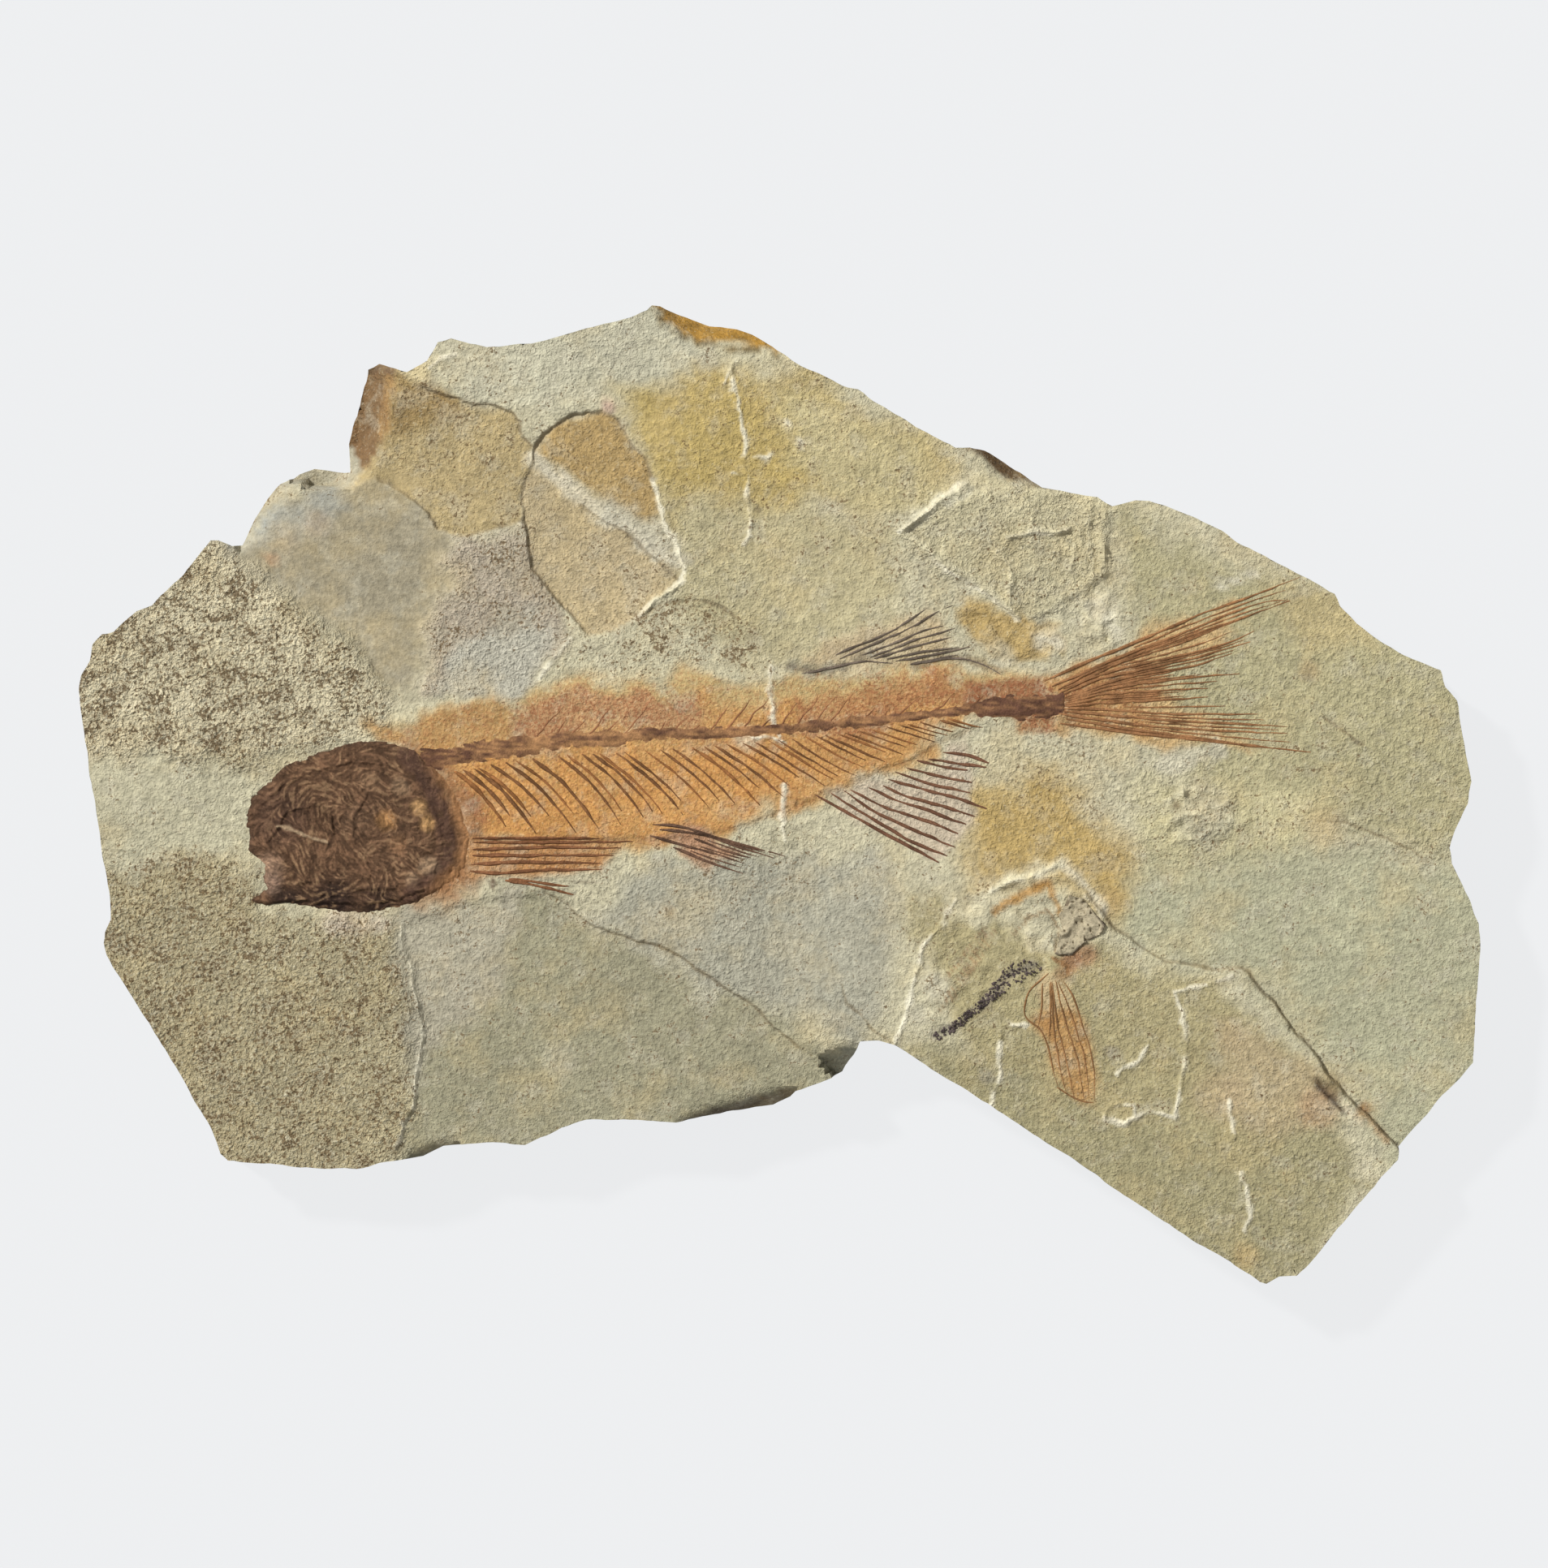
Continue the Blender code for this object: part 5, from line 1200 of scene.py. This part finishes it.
# Fins
# Fans of thin jointed rays, each a brown or rust-coloured mineral thread lying on the stone.
DORSAL_RAYS = [
    [(102.9, 80.7), (107.2, 78.9), (110.3, 77.6), (112.3, 76.2), (114.4, 74.8)],
    [(103.4, 81.2), (110.3, 78.2), (112.8, 77.1), (115.1, 75.5), (117.4, 74.6)],
    [(106.2, 80.7), (111.3, 78.8), (113.9, 77.6), (116.2, 77.1)],
    [(107.2, 81.0), (112.8, 78.8), (117.7, 77.4)],
    [(107.7, 81.2), (112.8, 79.6), (117.4, 78.5)],
    [(109.3, 81.2), (114.1, 80.2), (118.2, 79.8)],
    [(110.3, 81.5), (115.4, 80.6), (119.5, 79.7)],
    [(112.1, 81.9), (115.4, 81.2), (118.0, 80.7)],
    [(112.9, 81.9), (116.2, 81.1), (118.7, 81.1), (121.3, 81.9), (123.3, 83.1)],
    [(98.8, 83.0), (103.7, 82.0), (106.2, 81.4), (110.0, 81.7)],
]
ANAL_RAYS = [
    [(100.4, 97.9), (105.2, 100.6), (110.3, 103.4), (115.7, 106.3)],
    [(102.4, 97.8), (106.5, 100.3), (111.6, 103.4), (116.7, 105.5)],
    [(103.9, 97.4), (107.8, 100.1), (112.9, 102.4), (117.7, 104.4)],
    [(104.7, 97.3), (109.3, 99.6), (114.1, 101.1), (118.0, 102.7)],
    [(107.0, 97.0), (110.3, 98.6), (113.9, 99.7), (119.0, 101.6)],
    [(108.8, 96.8), (111.6, 98.2), (115.4, 99.1), (120.0, 100.6)],
    [(109.3, 96.0), (114.1, 97.4), (118.0, 98.3), (121.5, 99.7)],
    [(110.3, 95.1), (114.1, 96.5), (119.5, 97.7)],
    [(111.3, 94.5), (115.4, 95.6), (119.7, 96.4)],
    [(112.9, 93.7), (116.7, 94.6), (119.2, 94.9)],
    [(114.4, 93.5), (118.0, 94.1), (121.5, 94.5)],
    [(116.2, 92.7), (119.5, 93.0), (121.8, 94.0)],
]
TAIL_RAYS = [
    [(128.7, 83.9), (134.5, 81.3), (141.0, 78.7), (147.5, 75.8), (154.0, 73.5), (160.2, 71.1)],
    [(129.6, 84.6), (137.8, 81.0), (147.5, 77.3), (152.4, 75.2), (156.6, 73.9), (158.9, 74.0)],
    [(131.0, 84.9), (140.0, 80.6), (149.1, 77.4), (154.0, 75.8), (158.9, 74.0)],
    [(130.4, 85.0), (134.5, 82.6), (144.3, 79.7), (150.8, 77.1)],
    [(130.6, 85.4), (134.0, 83.6), (138.4, 82.3), (145.9, 80.7), (150.8, 79.4), (154.5, 77.8)],
    [(130.8, 85.7), (135.0, 83.7), (147.5, 81.0), (154.0, 79.1)],
    [(131.0, 86.0), (136.0, 84.2), (139.4, 83.3), (147.5, 82.0), (151.8, 80.5)],
    [(131.0, 86.2), (136.0, 84.6), (139.4, 83.9), (144.6, 83.1)],
    [(131.0, 86.4), (136.2, 84.9), (139.7, 84.3), (147.5, 83.4), (152.7, 83.0)],
    [(131.2, 86.6), (136.0, 85.4), (141.0, 85.2), (148.8, 84.8)],
    [(131.2, 86.8), (136.1, 86.0), (144.3, 85.6)],
    [(131.2, 87.0), (135.5, 86.6), (144.3, 86.2), (148.8, 85.9)],
    [(131.0, 87.3), (134.2, 87.3), (144.3, 88.0), (155.0, 88.0)],
    [(130.8, 87.6), (134.0, 87.9), (144.3, 88.8), (154.0, 89.3), (158.6, 89.5)],
    [(130.4, 87.9), (133.5, 88.4), (142.6, 89.6), (150.8, 90.1), (158.6, 90.4)],
    [(131.3, 88.6), (141.0, 90.1), (149.1, 91.1), (154.0, 91.9), (161.8, 92.7)],
    [(130.6, 89.1), (137.8, 90.1), (147.5, 91.2), (161.8, 92.7)],
]
PECTORAL_RAYS = [
    [(58.2, 103.3), (65.8, 103.3), (74.5, 103.3)],
    [(58.3, 103.8), (68.0, 103.8), (77.9, 103.7)],
    [(58.2, 104.7), (67.2, 104.4), (76.5, 104.5)],
    [(58.2, 105.4), (67.0, 105.4), (75.6, 105.4)],
    [(58.0, 106.5), (64.4, 106.2), (74.2, 106.4)],
    [(57.9, 107.4), (61.6, 107.6), (67.2, 107.2), (74.2, 107.1)],
    [(62.2, 108.5), (67.2, 109.3), (70.6, 110.2)],
    [(62.7, 108.3), (70.0, 109.2)],
]
PELVIC_RAYS = [
    [(80.4, 101.6), (83.5, 101.7), (89.7, 103.6), (96.7, 105.5)],
    [(81.2, 102.2), (86.3, 102.7), (91.1, 104.4), (95.3, 105.7)],
    [(85.5, 103.3), (89.7, 105.0), (92.5, 105.7)],
    [(80.1, 103.0), (84.1, 104.1), (88.3, 105.3), (91.9, 106.4)],
    [(82.9, 104.4), (87.7, 106.4), (91.6, 107.6)],
]
LOOSE_RAYS = [
    [(129.2, 119.9), (126.4, 122.4), (126.1, 125.5), (128.2, 126.7), (129.2, 129.0), (129.7, 131.8),
     (130.4, 134.1)],
    [(131.0, 120.9), (132.2, 122.4), (133.3, 126.2), (134.3, 129.0), (134.9, 132.6), (134.8, 135.4)],
    [(128.4, 121.1), (128.4, 124.2), (127.9, 126.5)],
    [(129.4, 120.9), (129.4, 125.0), (129.3, 128.3)],
    [(129.6, 120.8), (130.2, 126.0), (131.4, 131.0), (132.4, 135.6)],
    [(130.0, 120.8), (131.2, 125.6), (132.8, 130.6), (133.6, 135.8)],
    [(130.4, 121.0), (132.0, 125.0), (133.6, 130.0), (134.2, 135.2)],
    [(129.5, 121.0), (129.8, 127.0), (130.6, 131.6), (131.4, 134.8)],
    [(130.2, 134.0), (133.5, 135.9), (134.8, 135.9)],
]
BONE_TINTS = {
    "grey": (0.190, 0.148, 0.112), "rust": (0.345, 0.170, 0.074), "brown": (0.205, 0.098, 0.056),
    "dusky": (0.170, 0.095, 0.060), "pale_rust": (0.340, 0.180, 0.075), "pectoral": (0.250, 0.110, 0.050),
}


def fin(name, node_name, rays, tint, root, tip, height, forked):
    """A fan of rays. A forked fan has a fainter thread between each two neighbours."""
    colour = BONE_TINTS[tint]
    bones = [(curved(line, seed=200 + i), root, tip, height, colour) for i, line in enumerate(rays)]
    for i, (line, other) in enumerate(zip(rays, rays[1:]) if forked else ()):
        thread = curved(between(line, other, 0.5, (0.35, 0.6, 0.85, 0.96)), seed=240 + i)
        bones.append((thread, root * 0.55, tip * 0.7, height * 0.6, colour))
    finish = bone_material(name + "_bone", (0.420, 0.260, 0.130), 0.3, 0.3, 0.6)
    obj = finished(name, settled(bones), finish)
    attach(obj, "root")
    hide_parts(node_name)


fin("dorsal_rays", "dorsal_fin", DORSAL_RAYS, "grey", 0.36, 0.22, 0.20, False)
fin("anal_rays", "anal_fin", ANAL_RAYS, "brown", 0.34, 0.44, 0.20, False)
fin("tail_rays", "tail_fin", TAIL_RAYS, "rust", 0.46, 0.24, 0.22, True)
fin("pectoral_rays", "pectoral_fin", PECTORAL_RAYS, "pectoral", 0.50, 0.32, 0.22, False)
fin("pelvic_rays", "pelvic_fin", PELVIC_RAYS, "dusky", 0.40, 0.22, 0.22, True)
fin("loose_rays", "loose_fin", LOOSE_RAYS, "pale_rust", 0.24, 0.16, 0.12, False)

# Second fish
# What is left of another fish: a charred, crumbling string of vertebrae and a broken cream plate
# of bone pitted with dark holes.
LOOSE_SPINE = [
    (115.2, 127.8, 0.45), (117.4, 126.6, 0.40), (119.7, 124.8, 0.35), (121.6, 123.2, 0.45),
    (123.0, 121.7, 0.65), (124.7, 120.2, 0.95), (126.6, 119.2, 1.00), (127.8, 118.7, 0.60),
]
GRANULES = 330
SCATTER = 1.35
ACROSS = (0.66, 0.75)
CHARRED = (0.115, 0.088, 0.082)
BONE_PLATE = [
    (131.7, 110.2), (133.5, 110.7), (135.0, 112.5), (136.3, 114.0), (135.5, 115.3), (133.5, 116.3),
    (132.0, 117.8), (129.9, 117.6), (130.2, 116.3), (130.7, 114.0), (130.4, 112.7),
]


def plate_height(x, y):
    """A thin broken plate of bone with fine pits."""
    return 0.26 + 0.12 * rough(x, y, 1.2, 99) - 0.24 * ramp(noise(x, y, 0.36, 100), 0.35, 0.70)


bm = bmesh.new()
grain_draw = np.random.default_rng(120)
for i in range(GRANULES):
    share = grain_draw.uniform(0, 1)
    x, y, half = along(LOOSE_SPINE, share)
    aside = half * grain_draw.choice((-1, 1)) * grain_draw.uniform(0.0, SCATTER)
    x, y = x + ACROSS[0] * aside, y + ACROSS[1] * aside
    radius = grain_draw.uniform(0.07, 0.17)
    turn = Matrix.Rotation(grain_draw.uniform(0, math.pi), 4, "Z")
    shape = Matrix.Diagonal((radius * MM * grain_draw.uniform(1.0, 1.9), radius * MM, radius * MM * 0.9, 1.0))
    lift = Matrix.Translation((*spot(x, y), float(ground(x, y)) * MM + radius * MM * 0.2))
    bmesh.ops.create_icosphere(bm, subdivisions=1, radius=1.0, matrix=lift @ turn @ shape)
charred_finish = bone_material("charred_bone", (0.300, 0.260, 0.190), 0.5, 0.4, 0.6)
charred = finished("charred_backbone", bm, charred_finish)
x, y, z = points_of(charred)
paint(charred, "tint", np.array(CHARRED) * (1 + 0.5 * noise(x, y, 0.6, 121))[:, None])
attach(charred, "root")
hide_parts("loose_backbone")

CREAM = (0.530, 0.455, 0.305)
PIT_BROWN = (0.150, 0.110, 0.070)
RIM_BROWN = (0.090, 0.065, 0.050)
cream_finish = bone_material("cream_bone", (0.120, 0.090, 0.050), 0.8, 0.45, 0.75)
bone_plate = crust("bone_plate", BONE_PLATE, 0.14, plate_height, cream_finish)
x, y, z = points_of(bone_plate)
tint = np.tile(CREAM, (len(x), 1))
tint = washed(tint, 0.80 * ramp(noise(x, y, 0.36, 100), 0.50, 0.75), PIT_BROWN)
broken_rim = ramp(off_line(x, y, BONE_PLATE[2:8]), 0.45, 0.15) * ramp(noise(x, y, 0.5, 122), -0.5, 0.1)
tint = washed(tint, 0.85 * broken_rim, RIM_BROWN)
paint(bone_plate, "tint", tint)
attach(bone_plate, "root")
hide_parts("loose_bone_plate")

# Floor, light and camera
# A plain pale table, one soft key light from the upper left with even fill all round, and a
# camera that looks straight down.
FLOOR_SIZE = 1.6
floor_mesh = bpy.data.meshes.new("floor")
bm = bmesh.new()
bmesh.ops.create_grid(bm, x_segments=1, y_segments=1, size=FLOOR_SIZE / 2)
bm.to_mesh(floor_mesh)
bm.free()
floor = bpy.data.objects.new("floor", floor_mesh)
bpy.context.scene.collection.objects.link(floor)
floor_finish = bpy.data.materials.new("pale_table")
floor_finish.use_nodes = True
floor_shader = floor_finish.node_tree.nodes["Principled BSDF"]
floor_shader.inputs["Base Color"].default_value = (0.045, 0.0455, 0.046, 1.0)
floor_shader.inputs["Roughness"].default_value = 0.9
floor_shader.inputs["Specular IOR Level"].default_value = 0.0
floor_shader.inputs["Emission Color"].default_value = (0.865, 0.875, 0.888, 1.0)
floor_shader.inputs["Emission Strength"].default_value = 0.930
floor_mesh.materials.append(floor_finish)

sky = bpy.data.worlds.new("studio")
sky.use_nodes = True
sky.node_tree.nodes["Background"].inputs["Color"].default_value = (1.0, 1.0, 1.0, 1.0)
sky.node_tree.nodes["Background"].inputs["Strength"].default_value = 0.375
bpy.context.scene.world = sky
bpy.context.scene.view_settings.view_transform = "Standard"

KEY_FROM = (-0.66, 0.54, 0.70)
key = bpy.data.lights.new("key", "SUN")
key.energy = 3.75
key.angle = math.radians(5)
key_light = bpy.data.objects.new("key", key)
key_light.rotation_euler = Vector(KEY_FROM).to_track_quat("Z", "Y").to_euler()
bpy.context.scene.collection.objects.link(key_light)

CAMERA_HEIGHT = 1.2
FRAME_HEIGHT = 193.2
FRAME_MIDDLE = (95.35, 96.6)
SENSOR = 36
camera_data = bpy.data.cameras.new("camera")
camera_data.sensor_width = SENSOR
camera_data.lens = SENSOR * CAMERA_HEIGHT / (FRAME_HEIGHT * MM)
camera = bpy.data.objects.new("camera", camera_data)
camera.location = (*spot(*FRAME_MIDDLE), CAMERA_HEIGHT + SLAB_TOP * MM)
bpy.context.scene.collection.objects.link(camera)
bpy.context.scene.camera = camera
